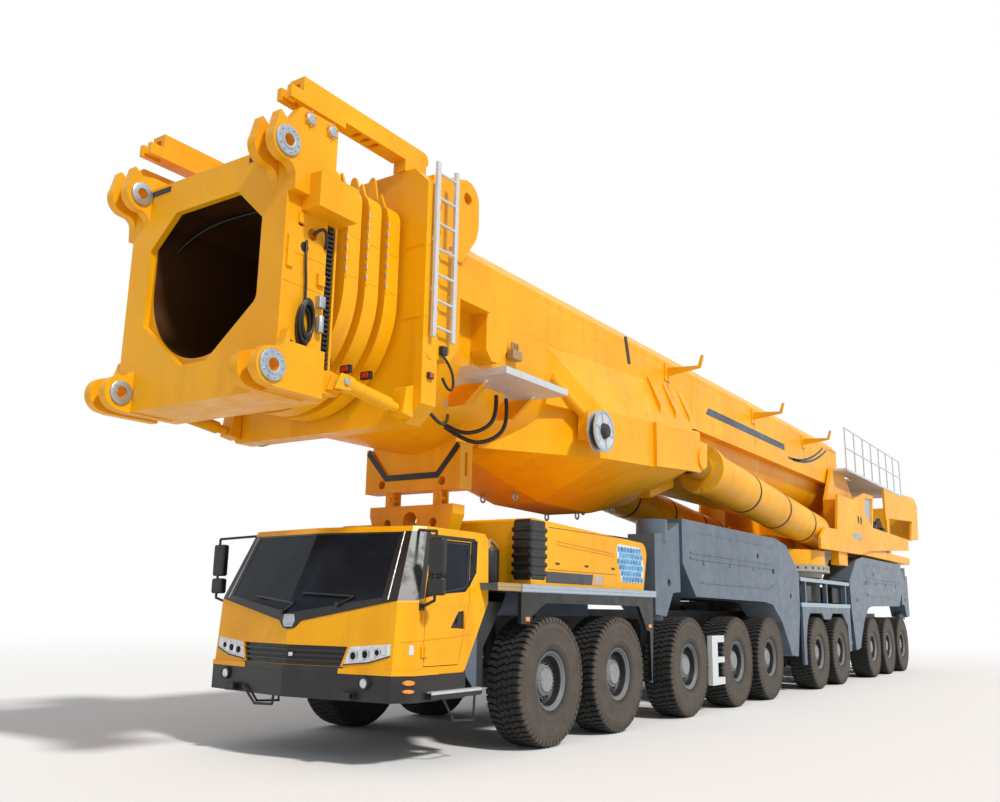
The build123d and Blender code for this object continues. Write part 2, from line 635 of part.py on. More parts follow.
# ================================================================ boom
def u_face(half, centre_z, top, corner, y):
    """Cross-section with a flat top, chamfered corners and a round underside, at place y."""
    straight = Polyline([(half, y, centre_z), (half, y, top - corner), (half - corner, y, top),
                         (-half + corner, y, top), (-half, y, top - corner), (-half, y, centre_z)])
    under = ThreePointArc((-half, y, centre_z), (0, y, centre_z - half), (half, y, centre_z))
    return make_face(straight.edges() + under.edges())


def u_bar(half, centre_z, top, corner, y):
    return extrude(u_face(half, centre_z, top, corner, y[0]), amount=y[1] - y[0], dir=(0, 1, 0))


def nest_size(step):
    """Outer half width and top of the step-th section inside the base, from 1 outwards in."""
    pitch = NEST_WALL + NEST_GAP
    return BOOM_BORE - NEST_GAP - pitch * (step - 1), BOOM_BORE_TOP - NEST_GAP - pitch * (step - 1)


def nest_tube(step, front):
    """Hollow boom section with a sliding shoe round its rear end."""
    half, top = nest_size(step)
    rear = SECTION_REAR + 150 * step
    shape = u_bar(half, BOOM_CENTRE_Z, top, 150, (front, rear))
    shoe_grow = NEST_GAP - SEAT_GAP
    shape += u_bar(half + shoe_grow, BOOM_CENTRE_Z, top + shoe_grow, 150, (rear - 300, rear))
    bore = u_bar(half - NEST_WALL, BOOM_CENTRE_Z, top - NEST_WALL, 150, (front - 10, rear + 10))
    return shape, bore


def collar(front):
    """Rounded collar at a section's mouth, with a pointed horn at each top corner."""
    top, corner = BOOM_TOP - 70, 190
    centre_z = BOOM_CENTRE_Z - 20
    flat = COLLAR_R - corner
    diagonal = flat + corner * sin(radians(45))
    rounding_z = top - corner + corner * sin(radians(45))
    sides = [Line((COLLAR_R, front, centre_z), (COLLAR_R, front, top - corner)),
             ThreePointArc((COLLAR_R, front, top - corner), (diagonal, front, rounding_z), (flat, front, top)),
             Line((flat, front, top), (-flat, front, top)),
             ThreePointArc((-flat, front, top), (-diagonal, front, rounding_z), (-COLLAR_R, front, top - corner)),
             Line((-COLLAR_R, front, top - corner), (-COLLAR_R, front, centre_z)),
             ThreePointArc((-COLLAR_R, front, centre_z), (0, front, centre_z - COLLAR_R), (COLLAR_R, front, centre_z))]
    band = extrude(make_face([edge for side in sides for edge in side.edges()]), amount=COLLAR_THICK, dir=(0, 1, 0))
    horn = front_plate([(COLLAR_R - 230, top - 30), (COLLAR_R - 120, top + 110), (COLLAR_R - 10, top - corner)],
                       (front, front + HORN_THICK))
    return band + both(horn)


def boom_sections():
    for step, (name, front) in enumerate(SECTIONS, 1):
        shape, bore = nest_tube(step, front)
        save(name, shape + collar(front) - bore)


def octagon(half_x, z, cut):
    """Octagonal opening in (x, z)."""
    low, high = z
    return [(half_x - cut, low), (half_x, low + cut), (half_x, high - cut), (half_x - cut, high),
            (-half_x + cut, high), (-half_x, high - cut), (-half_x, low + cut), (-half_x + cut, low)]


def upper_fork():
    """The two plates of the head's upper left fork; the outer one rises to an ear with two pins."""
    y, z = LUG_Y, LUG_Z[1]
    low, rear = 5450, -3620
    lobe = [(y - 170, z + 40, 0), (y - 110, z + 290, 12), (y, z + 205, 45)]
    under = [(-4100, low, 0), (-4145, low, 0), (-4160, z - LUG_R, 110), (y, z - LUG_R, 0)]
    inner = rounded_plate(under + lobe + [(y + 120, z + 240, 60), (rear, z + 240, 0), (rear, low, 0)], LUG_PLATES[0])
    outer = rounded_plate(under + lobe + [(y + 150, z + 430, 50), (rear, z + 440, 60), (rear, low, 0)], LUG_PLATES[1])
    shape = inner + outer + pin_x(y, z, LUG_R, LUG_PLATES[0]) + pin_x(y, z, LUG_R, LUG_PLATES[1])
    for ear_y in (-4020, -3720):
        shape += pin_x(ear_y, z + 340, 62, (LUG_PLATES[1][1] - 10, LUG_PLATES[1][1] + 22))
    shape += pin_x(y, z, LUG_R - 40, (LUG_PLATES[1][0], LUG_PLATES[1][1] + LUG_BOSS))
    return shape + block((HEAD_HALF - 10, 1450), (-3960, -3430), (5310, 5670))


def lower_fork():
    y, z = LUG_Y, LUG_Z[0]
    low, rear = HEAD_Z[0] - 10, -3630
    outline = [(y, z - LUG_R, 0), (y + 60, low, 0), (rear, low, 0), (rear, z + 270, 0), (-4080, z + 270, 0),
               (-4110, z + 390, 0), (-4165, z + LUG_R + 30, 90), (y, z + LUG_R, 0)]
    shape = Part()
    for plate in LUG_PLATES:
        shape += rounded_plate(outline, plate) + pin_x(y, z, LUG_R, plate)
    return shape + pin_x(y, z, LUG_R - 40, (LUG_PLATES[1][0], LUG_PLATES[1][1] + LUG_BOSS))


def boom_head():
    front, rear = HEAD_Y
    tube, bore = nest_tube(len(SECTIONS) + 1, rear)
    save("boom_section_4", tube - bore)
    frame = front_plate(octagon(HEAD_HALF, HEAD_Z, 90), HEAD_Y)
    for y, z, radius in ((-3950, 5190, 38), (-3790, 5120, 62)):
        frame -= both(pin_x(y, z, radius, (HEAD_HALF - 70, HEAD_HALF + 10)))
    frame -= both(block((HEAD_HALF - 60, HEAD_HALF + 10), (-3590, -3480), (3750, 5300)))
    mouth = front_plate(mirrored_outline(MOUTH), (front - 10, front + MOUTH_LIP))
    half, top = nest_size(len(SECTIONS) + 1)
    behind = u_bar(half - NEST_WALL, BOOM_CENTRE_Z, top - NEST_WALL, 150, (front + MOUTH_LIP, rear + 10))
    shape = (frame - mouth - behind) + both(upper_fork() + lower_fork())
    for z in LUG_Z:
        shape -= both(pin_x(LUG_Y, z, LUG_BORE_R, (LUG_PLATES[0][0] - 10, LUG_PLATES[1][1] + 30)))
    save("boom_head", shape)


def belly():
    """Fabricated hull under the base section, with the forked brackets of the luffing cylinders' rod eyes."""
    fork = (ROD_EYE_X[0] - RUNNING_GAP, ROD_EYE_X[1] + RUNNING_GAP)
    side = fork[1] + 14
    # stations: y, keel half width and z, edge x and z, top z
    stations = [(-110, 330, 3540, 620, 3600, 4200), (700, 380, 3330, 1080, 3610, 4300),
                (1770, 400, 3090, side, 3650, 4340), (3300, 400, 3070, side, 3740, 4440),
                (4600, 400, 3330, side, 3840, 4450)]
    rings = []
    for y, keel_x, keel_z, edge_x, edge_z, top_z in stations:
        half = [(keel_x, y, keel_z), (edge_x, y, edge_z), (edge_x, y, top_z)]
        rings.append(half + [(-x, y, z) for x, _, z in reversed(half)])
    shape = stacked(rings)
    shape += side_plate([(4500, 3420), (5450, 3700), (5450, 4400), (4500, 4400)], (-900, 900))
    eye_y, eye_z = CYL_EYE
    cheek = side_plate([(3300, 3740), (4600, 3840), (5000, 3860), (5330, 4000), (5380, 4400), (3300, 4440)],
                       (fork[1], fork[1] + 74))
    cheek += pin_x(eye_y, eye_z, 170, (fork[1], fork[1] + 104))
    inner = side_plate([(4500, 3700), (5000, 3830), (5340, 3980), (5380, 4400), (4500, 4400)],
                       (890, fork[0]))
    # sloping shoulder between the flank and the hull's edge: y, outer x, z at the flank and at the outer side
    slope = [(600, 1222, 5060, 4780), (1700, side, 5140, 4330), (3390, side, 5230, 4440), (5200, side, 5330, 4560)]
    rings = [[(1100, y, 4250), (1100, y, flank_z), (1215, y, flank_z), (outer_x, y, outer_z), (outer_x, y, 4250)]
             for y, outer_x, flank_z, outer_z in slope]
    shoulder = stacked(rings) - pin_x(*CYL_EYE, ROD_EYE_R + 300, fork)
    reel_y, reel_z = REEL
    reel_arm = bar((BOOM_HALF + 10, 700, 4640), (REEL_ARM_X[1] - 40, reel_y + 20, reel_z + 170), 70)
    reel_arm += block(REEL_ARM_X, (reel_y - 120, reel_y + 120), (reel_z - 100, reel_z + 280))
    gussets = reel_arm
    for y in (3770, 4370, 4950):
        gussets += stacked([[(1200, y - 15, 5380), (1450, y - 15, 4820), (1450, y - 15, 4560), (1200, y - 15, 4560)],
                            [(1200, y + 15, 5380), (1450, y + 15, 4820), (1450, y + 15, 4560), (1200, y + 15, 4560)]])
    return shape + both(cheek + inner + shoulder + gussets)


def flank_boxes():
    """Stiffening boxes on the left flank behind the collar, with the lug box above them."""
    front, x = BASE_COLLAR_Y[1] - 10, (BOOM_HALF - 60, FLANK_BOX_X)
    shape = side_plate([(front, 4200), (front, 5480), (-1820, 5390), (-1140, 5270), (-1140, 5000), (-1750, 5000),
                        (-1750, 4400), (-1950, 4200)], x)
    shape += side_plate([(-1150, 4560), (-1150, 5280), (-720, 5200), (-720, 4620), (-900, 4440), (-1040, 4440)],
                        (x[0], x[1] - 50))
    eye_y, eye_z, eye_r = -1520, 6330, 230
    lug_x = (BOOM_HALF - 15, 1400)
    lug = side_plate([(front, 5450), (front, 6375), (-1640, 6530), (eye_y, eye_z), (eye_y + eye_r, eye_z),
                      (eye_y + eye_r, 6020), (eye_y + 190, 5880), (-1600, 5500)], lug_x)
    lug += pin_x(eye_y, eye_z, eye_r, lug_x)
    lug -= pin_x(eye_y, eye_z, 75, (lug_x[0] - 10, lug_x[1] + 10))
    return shape + lug


def hook_arm(y):
    """Flat arm on the left flank, bent up at its end."""
    z, tip = 5470, 1860
    shape = block((BOOM_HALF - 5, BOOM_HALF + 25), (y - 70, y + 150), (z - 80, z + 220))
    shape += front_plate([(BOOM_HALF, z), (BOOM_HALF, z + 150), (tip - 60, z + 115), (tip, z + 290),
                          (tip + 40, z + 280), (tip - 15, z + 75)], (y, y + 40))
    return shape


def boom_base():
    front, collar_rear = BASE_COLLAR_Y
    upper = u_bar(BOOM_HALF, BELLY_CENTRE_Z, BOOM_TOP, BOOM_CORNER, (front, BOOM_REAR))
    upper -= block((-1300, 1300), (BELLY_REAR, BOOM_REAR + 10), (3000, LEDGE_Z))
    lower = u_bar(BOOM_TUBE_R, BOOM_CENTRE_Z, LEDGE_Z + 100, 10, (BELLY_REAR, BOOM_REAR))
    shape = upper + lower + belly() + both(flank_boxes())
    shape += front_plate(octagon(BASE_COLLAR_HALF, BASE_COLLAR_Z, 200), BASE_COLLAR_Y)
    shape += both(side_plate([(front, 6300), (front, 6600), (-2100, 6600), (-2000, 6300)], (1000, 1080)))
    rest_inner, rest_tip = REST_V
    foot_z = rest_inner[1] + SEAT_GAP
    foot = mirrored_outline([(rest_inner[0] - SEAT_GAP, foot_z), (rest_tip[0] - 40, rest_tip[1]), (rest_tip[0] - 40, 3900)])
    shape += front_plate(foot, (REST_Y[0] + 20, REST_Y[1] - 20))
    for y in HOOK_ARM_Y:
        shape += hook_arm(y)
    tail = side_plate([(BOOM_REAR - 20, 5560), (BOOM_REAR - 20, 5900), (BOOM_REAR + 240, 5900), (BOOM_REAR + 290, 5820),
                       (BOOM_REAR + 290, 5600)], (900, 1060))
    shape += both(tail - pin_x(BOOM_REAR + 150, 5750, 55, (890, 1070)))
    shape -= u_bar(BOOM_BORE, BOOM_CENTRE_Z, BOOM_BORE_TOP, 150, (front - 10, BOOM_REAR - 100))
    half, top = nest_size(1)
    pad = u_bar(BOOM_BORE + 5, BOOM_CENTRE_Z, BOOM_BORE_TOP + 5, 150, (front, front + 200))
    pad -= u_bar(half + SEAT_GAP, BOOM_CENTRE_Z, top + SEAT_GAP, 150, (front - 10, 0))
    shape += pad
    boss = pin_x(PIVOT_Y, PIVOT_Z, 240, (BOOM_HALF - 10, CHEEK_X[0] - SEAT_GAP))
    shape += both(boss)
    shape -= both(pin_x(PIVOT_Y, PIVOT_Z, PIVOT_PIN_R + 0.5, (BOOM_BORE + 100, CHEEK_X[0])))
    save("boom_base", shape)


def ladder(x, y, z):
    """Left side ladder with square rails and round rungs."""
    shape = Part()
    for rail_y in y:
        shape += block((x, x + 35), (rail_y - 30, rail_y + 30), z)
    rungs = 7
    for n in range(rungs):
        rung_z = z[0] + 120 + (z[1] - z[0] - 240) * n / (rungs - 1)
        shape += bar((x + 17, y[0], rung_z), (x + 17, y[1], rung_z), 16)
    for stay_z in (z[0] + 520, z[0] + 1100):
        for rail_y, flank_x in zip(y, (BASE_COLLAR_HALF, FLANK_BOX_X)):
            shape += block((flank_x + SEAT_GAP, x + 10), (rail_y - 12, rail_y + 12), (stay_z, stay_z + 40))
    return shape


def tread_platform():
    """Folding platform beside the boom rest, on two brackets."""
    x, y, z = (1300, 1930), (-1430, -60), (4150, 4230)
    shape = block(x, y, z)
    for bracket_y in (y[0] + 150, y[1] - 200):
        place = (bracket_y, bracket_y + 60)
        bracket = front_plate([(900, 4350), (900, 3900), (1250, 3900), (1560, z[0] + 10), (1560, 4230), (1330, 4350)], place)
        shape += bracket - pin_y(0, BELLY_CENTRE_Z, BOOM_HALF + SEAT_GAP, (place[0] - 10, place[1] + 10))
    return shape


def boom_fittings():
    seat = 6370 + SEAT_GAP
    inner, outer, low, high = 1000, 1200, 6500, 6720
    beam = block((inner, outer), (-4030, -2450), (low, high)) + block((1080 + SEAT_GAP, outer), (-2450, -2130), (seat, high))
    beam += pin_x(-2130, high - 90, 90, (1080 + SEAT_GAP, outer))
    beam += block((1080 + SEAT_GAP, outer), (-2180, -2080), (seat, high - 90))
    beam += block((inner, outer), (-4190, -3420), (low - 70, low + 10)) + block((inner, outer), (-4190, -4020), (low, low + 60))
    beam -= block((inner + 60, outer - 60), (-4200, -3980), (low - 80, high - 60))
    for y in (-3160, -3020, -2880):
        hole = block((inner + 60, outer - 60), (y - 30, y + 30), (low - 10, low + 60))
        beam -= hole + post(inner + 60, y, 30, (low - 10, low + 60)) + post(outer - 60, y, 30, (low - 10, low + 60))
    save("boom_top_bars", both(beam))
    reel = pin_x(*REEL, 90, (REEL_ARM_X[1] + SEAT_GAP, 1760)) + pin_x(*REEL, 150, (1610, 1710))
    reel += pin_x(*REEL, 280, (1600, 1620)) + pin_x(*REEL, 280, (1700, 1720))
    save("boom_side_fittings", reel + tread_platform() + ladder(1560, (-2320, -1980), (4400, 6420)))


# ================================================================ luffing cylinders
def cylinder_axis(distance):
    """Point on the left cylinder's axis, that far from its base pin."""
    length = hypot(CYL_EYE[0] - CYL_BASE[0], CYL_EYE[1] - CYL_BASE[1])
    share = distance / length
    return tuple([CYL_X] + [CYL_BASE[i] + (CYL_EYE[i] - CYL_BASE[i]) * share for i in (0, 1)])


def luffing_cylinders():
    length = hypot(CYL_EYE[0] - CYL_BASE[0], CYL_EYE[1] - CYL_BASE[1])
    front = length - 650
    barrel = bar(cylinder_axis(420), cylinder_axis(front), BARREL_R)
    barrel += bar(cylinder_axis(front - 180), cylinder_axis(front), GLAND_R)
    barrel += bar(cylinder_axis(0), cylinder_axis(430), 200)
    barrel += pin_x(*CYL_BASE, 260, (CYL_X - 150, CYL_X + 150))
    barrel -= pin_x(*CYL_BASE, CYL_BASE_PIN_R + 0.5, (CYL_X - 200, CYL_X + 200))
    barrel -= bar(cylinder_axis(700), cylinder_axis(front + 10), ROD_R + SEAT_GAP)
    save("luffing_barrels", both(barrel))
    rod = bar(cylinder_axis(900), cylinder_axis(length - 100), ROD_R)
    rod += pin_x(*CYL_EYE, ROD_EYE_R, ROD_EYE_X)
    rod -= pin_x(*CYL_EYE, 110, (CYL_X - 250, CYL_X + 250))
    save("luffing_rods", both(rod))


# ================================================================ superstructure
def side_frame():
    """Pieces of the frame's left side: pivot cheek, outer plate, two webs, cylinder bracket and slew lock."""
    floor = FLOOR_Z[1] + SEAT_GAP
    cheek = side_plate([(13650, floor), (13650, 4300), (14350, 5180), (15450, 5180), (16600, 4400), (17400, floor)],
                       CHEEK_X)
    cheek += pin_x(PIVOT_Y, PIVOT_Z, PIVOT_PIN_R, (BOOM_BORE + 110, CHEEK_X[1]))
    side = side_plate([(11490, 2980), (11490, 3230), (11930, 3480), (12940, 3510), (13150, 4360), (14540, 4370),
                       (15840, 4670), (16810, 4690), (16560, 3820), (21160, 3810), (21030, 3470), (16140, 3190),
                       (15070, 3030)], SIDE_X)
    side -= side_plate([(15870, 4540), (16640, 4590), (16440, 3850), (15760, 4150)], (SIDE_X[0] - 1, SIDE_X[1] + 1))
    between = (CHEEK_X[1] + SEAT_GAP, SIDE_X[0] - SEAT_GAP)
    webs = [block(between, (13650, 13750), (floor, 4300)), block(between, CROSS_WALL_Y, (floor, 4290))]
    bracket_x = (NOSE_HALF + SEAT_GAP, NOSE_HALF + 60)
    foot = POST_TOP + SEAT_GAP
    bracket = side_plate([(12600, foot), (12600, 3300), (12750, 3650), (13250, 3650), (13640, 3260), (13640, foot)],
                         bracket_x)
    bracket += pin_x(*CYL_BASE, CYL_BASE_PIN_R, (bracket_x[0], between[1]))
    slew_lock = block((1500, between[1]), (13150, 13950), (2700, FLOOR_Z[0] - SEAT_GAP))
    return [cheek, side, bracket, slew_lock] + webs


def superstructure():
    """Turntable, nose, floor, cross wall and the two side frames, each plate a solid on its seat."""
    low, high = FLOOR_Z
    inner = CHEEK_X[0] - SEAT_GAP
    floor_front = 13650
    pieces = [post(0, RING_Y, 1600, (SLEW_BOTTOM, POST_TOP)),
              block((-NOSE_HALF, NOSE_HALF), (10950, floor_front - SEAT_GAP), (POST_TOP + SEAT_GAP, high)),
              block((-SIDE_X[0] + SEAT_GAP, SIDE_X[0] - SEAT_GAP), (floor_front, 21400), FLOOR_Z),
              block((-inner, inner), CROSS_WALL_Y, (high + SEAT_GAP, 4290))]
    for piece in side_frame():
        pieces += [piece, flip(piece)]
    save("superstructure_frame", Compound([solid for piece in pieces for solid in piece.solids()]))


def superstructure_tail():
    """Side panels and rear wall round the winches."""
    top, floor = WALKWAY_Z[0] - SEAT_GAP, FLOOR_Z[1] + SEAT_GAP
    walk_end = WALKWAY_Y[1] + 50
    side = side_plate([(18500, top), (walk_end, top), (walk_end, 5190), (TAIL_END - 380, 5250), (TAIL_END, 5020),
                       (TAIL_END - 190, 3940), (TAIL_END - 1380, 3830), (TAIL_END - 1020, 4460), (18780, 4270),
                       (18500, 4200)], TAIL_X)
    side += side_plate([(18600, floor), (18600, 4400), (18900, 4400), (18900, floor)], TAIL_X)
    wall = side_plate([(TAIL_END - 70, 5020), (TAIL_END, 5020), (TAIL_END - 190, 3940), (TAIL_END - 260, 3940)],
                      (-TAIL_X[1], TAIL_X[1]))
    save("superstructure_tail", both(side) + wall)


def hoist_winches():
    """Two rope drums with flanges, each between two bearing stands on the floor plate."""
    floor = FLOOR_Z[1] + SEAT_GAP
    shape = Part()
    for y in WINCH_Y:
        drum = pin_x(y, WINCH_Z, WINCH_R - 90, (-1000, 1000)) + pin_x(y, WINCH_Z, 120, (-1150, 1150))
        drum += both(pin_x(y, WINCH_Z, WINCH_R, (960, 1000)))
        stand = side_plate([(y - 400, floor), (y - 130, WINCH_Z + 170), (y + 130, WINCH_Z + 170), (y + 400, floor)],
                           (1060, 1130))
        shape += drum + both(stand)
    save("hoist_winches", shape)


def platform_railing():
    y0, y1 = WALKWAY_Y
    inner = CHEEK_X[1] + SEAT_GAP
    deck = both(block((inner, 1700), (y0, y1), WALKWAY_Z)) + block((-inner - 1, inner + 1), (16450, y1), WALKWAY_Z)
    z = WALKWAY_Z[1]
    posts = 8
    for n in range(posts):
        y = y0 + 20 + (y1 - y0 - 40) * n / (posts - 1)
        deck += both(block((1670, 1700), (y - 15, y + 15), (z - 5, z + 1050)))
    for rail_z in (z + 520, z + 1030):
        deck += both(block((1672, 1698), (y0, y1), (rail_z - 13, rail_z + 13)))
    save("platform_railing", deck)


def main():
    os.makedirs("parts", exist_ok=True)
    wheels()
    knuckles()
    axle_beams()
    chassis_frame()
    cab()
    cab_interior()
    front_bumper()
    mirrors()
    engine_hood()
    catwalks()
    boom_rest()
    outriggers()
    boom_sections()
    boom_head()
    boom_base()
    boom_fittings()
    luffing_cylinders()
    superstructure()
    superstructure_tail()
    hoist_winches()
    platform_railing()


main()
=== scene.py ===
"""Looks of the ten-axle mobile crane: paint, tyres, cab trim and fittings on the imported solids.

Metres.  X is to the crane's left, Z is up.  Lengths along the crane are given from the first axle and
brought to the frame's own origin by settle().
"""

from math import cos, hypot, pi, radians, sin, sqrt

import bmesh
import bpy
from mathutils import Matrix, Vector


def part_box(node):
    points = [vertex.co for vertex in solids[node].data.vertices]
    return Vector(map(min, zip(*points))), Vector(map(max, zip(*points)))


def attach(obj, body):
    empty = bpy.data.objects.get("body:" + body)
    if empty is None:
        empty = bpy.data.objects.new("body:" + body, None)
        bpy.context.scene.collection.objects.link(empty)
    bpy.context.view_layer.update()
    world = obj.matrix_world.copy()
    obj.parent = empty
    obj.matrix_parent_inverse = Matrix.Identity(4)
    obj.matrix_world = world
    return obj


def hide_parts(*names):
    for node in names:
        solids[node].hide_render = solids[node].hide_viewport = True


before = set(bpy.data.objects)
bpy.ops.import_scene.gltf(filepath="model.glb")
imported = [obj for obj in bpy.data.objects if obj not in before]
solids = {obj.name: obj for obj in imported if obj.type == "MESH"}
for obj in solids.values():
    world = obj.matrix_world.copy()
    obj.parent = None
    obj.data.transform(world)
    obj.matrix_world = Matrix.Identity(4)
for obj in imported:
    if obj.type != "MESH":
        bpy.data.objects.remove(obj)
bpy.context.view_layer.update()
FIRST_AXLE = (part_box("wheel_1_left")[0].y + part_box("wheel_1_left")[1].y) / 2


# ================================================================ working by hand
def put_down():
    """Back to object mode with nothing selected."""
    if bpy.context.object and bpy.context.object.mode != "OBJECT":
        bpy.ops.object.mode_set(mode="OBJECT")
    bpy.ops.object.select_all(action="DESELECT")


def take(piece):
    put_down()
    piece.select_set(True)
    bpy.context.view_layer.objects.active = piece


def open_mesh(piece, kind="FACE"):
    """Edit mode with nothing selected."""
    take(piece)
    bpy.ops.object.mode_set(mode="EDIT")
    bpy.ops.mesh.select_mode(type=kind)
    bpy.ops.mesh.select_all(action="DESELECT")


def close_mesh():
    bpy.ops.object.mode_set(mode="OBJECT")


def pick(piece, test):
    """Selects the faces that pass the test, and only those."""
    mesh = bmesh.from_edit_mesh(piece.data)
    for face in mesh.faces:
        face.select_set(False)
    for face in mesh.faces:
        if test(face):
            face.select_set(True)
    mesh.select_flush_mode()
    bmesh.update_edit_mesh(piece.data)


def facing(direction, limit=0.9):
    way = Vector(direction).normalized()
    return lambda face: face.normal.dot(way) > limit


def level(piece):
    """Brings the object's own place, turn and size into its mesh."""
    take(piece)
    bpy.ops.object.transform_apply(location=True, rotation=True, scale=True)
    return piece


def box_piece(name, x, y, z):
    put_down()
    middle = [(low + high) / 2 for low, high in (x, y, z)]
    bpy.ops.mesh.primitive_cube_add(size=1, location=middle)
    piece = bpy.context.object
    piece.name = name
    piece.scale = [high - low for low, high in (x, y, z)]
    return level(piece)


TURNS = {"x": (0, pi / 2, 0), "y": (pi / 2, 0, 0), "z": (0, 0, 0)}


def round_piece(name, middle, radius, length, axis="x", sides=32):
    put_down()
    bpy.ops.mesh.primitive_cylinder_add(vertices=sides, radius=radius, depth=length, location=middle,
                                        rotation=TURNS[axis])
    piece = bpy.context.object
    piece.name = name
    return level(piece)


def drawn_piece(name, points, thick=None):
    """A flat face through the points, given thickness along a vector."""
    put_down()
    bpy.ops.mesh.primitive_circle_add(vertices=len(points), fill_type="NGON")
    piece = bpy.context.object
    piece.name = name
    for vertex, point in zip(piece.data.vertices, points):
        vertex.co = point
    if thick:
        open_mesh(piece)
        bpy.ops.mesh.select_all(action="SELECT")
        bpy.ops.mesh.extrude_region_move(TRANSFORM_OT_translate={"value": thick})
        bpy.ops.mesh.select_all(action="SELECT")
        bpy.ops.mesh.normals_make_consistent(inside=False)
        close_mesh()
    return piece


def side_piece(name, outline, x):
    """Plate drawn as (y, z) points between two x places."""
    return drawn_piece(name, [(x[0], y, z) for y, z in outline], (x[1] - x[0], 0, 0))


def front_piece(name, outline, y):
    """Plate drawn as (x, z) points between two y places."""
    return drawn_piece(name, [(x, y[0], z) for x, z in outline], (0, y[1] - y[0], 0))


def turned_piece(name, outline, middle, steps=64):
    """Closed (x, r) outline turned a full circle about an X axis through middle."""
    put_down()
    bpy.ops.mesh.primitive_circle_add(vertices=len(outline), fill_type="NOTHING")
    piece = bpy.context.object
    piece.name = name
    for vertex, (x, r) in zip(piece.data.vertices, outline):
        vertex.co = (middle[0] + x, middle[1], middle[2] + r)
    open_mesh(piece, "EDGE")
    bpy.ops.mesh.select_all(action="SELECT")
    bpy.ops.mesh.spin(steps=steps, angle=2 * pi, center=middle, axis=(1, 0, 0))
    bpy.ops.mesh.select_all(action="SELECT")
    bpy.ops.mesh.remove_doubles(threshold=0.0002)
    bpy.ops.mesh.normals_make_consistent(inside=False)
    close_mesh()
    return piece


def soften(piece, width=0.008, segments=2, angle=35):
    """Rounded edges, applied."""
    take(piece)
    bevel = piece.modifiers.new("rounded edges", "BEVEL")
    bevel.width = width
    bevel.segments = segments
    bevel.angle_limit = radians(angle)
    bpy.ops.object.modifier_apply(modifier=bevel.name)
    return piece


def smooth(piece, angle=35):
    take(piece)
    bpy.ops.object.shade_smooth_by_angle(angle=radians(angle))
    return piece


def rounded(name, middle, radius, length, axis, sides, edge, segments=2):
    """Smooth round piece with softened rims."""
    return smooth(soften(round_piece(name, middle, radius, length, axis, sides), edge, segments), 40)


def joined(name, pieces):
    take(pieces[0])
    for piece in pieces[1:]:
        piece.select_set(True)
    if len(pieces) > 1:
        bpy.ops.object.join()
    pieces[0].name = name
    return pieces[0]


def repeated(name, master, moves):
    """One mesh with a copy of the master at each matrix; the master itself is removed."""
    mesh = bmesh.new()
    for move in moves:
        before = len(mesh.verts)
        mesh.from_mesh(master.data)
        mesh.verts.ensure_lookup_table()
        bmesh.ops.transform(mesh, matrix=move, verts=mesh.verts[before:])
    data = bpy.data.meshes.new(name)
    mesh.to_mesh(data)
    mesh.free()
    data.materials.clear()
    for material in master.data.materials:
        data.materials.append(material)
    piece = bpy.data.objects.new(name, data)
    bpy.context.collection.objects.link(piece)
    bpy.data.objects.remove(master)
    return piece


def shifted(*places):
    return [Matrix.Translation(place) for place in places]


def other_side(piece, name):
    """Mirror image across the crane's middle, with its faces turned back outwards."""
    put_down()
    copy = piece.copy()
    copy.data = piece.data.copy()
    bpy.context.collection.objects.link(copy)
    copy.name = name
    copy.scale = (-1, 1, 1)
    level(copy)
    open_mesh(copy)
    bpy.ops.mesh.select_all(action="SELECT")
    bpy.ops.mesh.normals_make_consistent(inside=False)
    close_mesh()
    return copy


def bar_between(name, start, end, radius, sides=10):
    start, end = Vector(start), Vector(end)
    put_down()
    bpy.ops.mesh.primitive_cylinder_add(vertices=sides, radius=radius, depth=(end - start).length,
                                        location=(start + end) / 2)
    piece = bpy.context.object
    piece.name = name
    piece.rotation_mode = "QUATERNION"
    piece.rotation_quaternion = (end - start).to_track_quat("Z", "Y")
    return level(piece)


def hose(name, points, radius):
    """Bent pipe or hose as a mesh, through the points."""
    put_down()
    curve = bpy.data.curves.new(name, "CURVE")
    curve.dimensions = "3D"
    line = curve.splines.new("NURBS")
    line.points.add(len(points) - 1)
    for knot, point in zip(line.points, points):
        knot.co = (*point, 1)
    line.order_u = 3
    line.use_endpoint_u = True
    curve.bevel_depth = radius
    curve.bevel_resolution = 2
    curve.resolution_u = 6
    curve.use_fill_caps = True
    piece = bpy.data.objects.new(name, curve)
    bpy.context.collection.objects.link(piece)
    take(piece)
    bpy.ops.object.convert(target="MESH")
    return bpy.context.object


def inset(piece, direction, *steps):
    """Insets the faces that look in a direction, by (thickness, depth) steps."""
    open_mesh(piece)
    pick(piece, facing(direction))
    for thickness, depth in steps:
        bpy.ops.mesh.inset(thickness=thickness, depth=depth)
    close_mesh()
    return piece


def wire_ring(middle, radius, thick, steps, stretch=1.0):
    """Smooth torus about an X axis, stretched across."""
    put_down()
    bpy.ops.mesh.primitive_torus_add(major_radius=radius, minor_radius=thick, major_segments=steps,
                                     minor_segments=10, location=middle, rotation=TURNS["x"])
    ring = bpy.context.object
    ring.scale = (stretch, 1.0, 1.0)
    return smooth(level(ring), 60)


def dressed(piece, *finishes):
    piece.data.materials.clear()
    for finish in finishes:
        piece.data.materials.append(finish)
    return piece


def settle(piece, body, finish):
    """Brings a finished piece to the frame's origin, gives it its finish and lets it ride on a body."""
    take(piece)
    piece.location.y += FIRST_AXLE
    level(piece)
    dressed(piece, finish)
    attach(piece, body)


def both_sides(piece, body, finish):
    """Settles the piece and its mirror image; a body's name may hold {side}."""
    name = piece.name
    settle(other_side(piece, f"{name}_right"), body.format(side="right"), finish)
    piece.name = f"{name}_left"
    settle(piece, body.format(side="left"), finish)


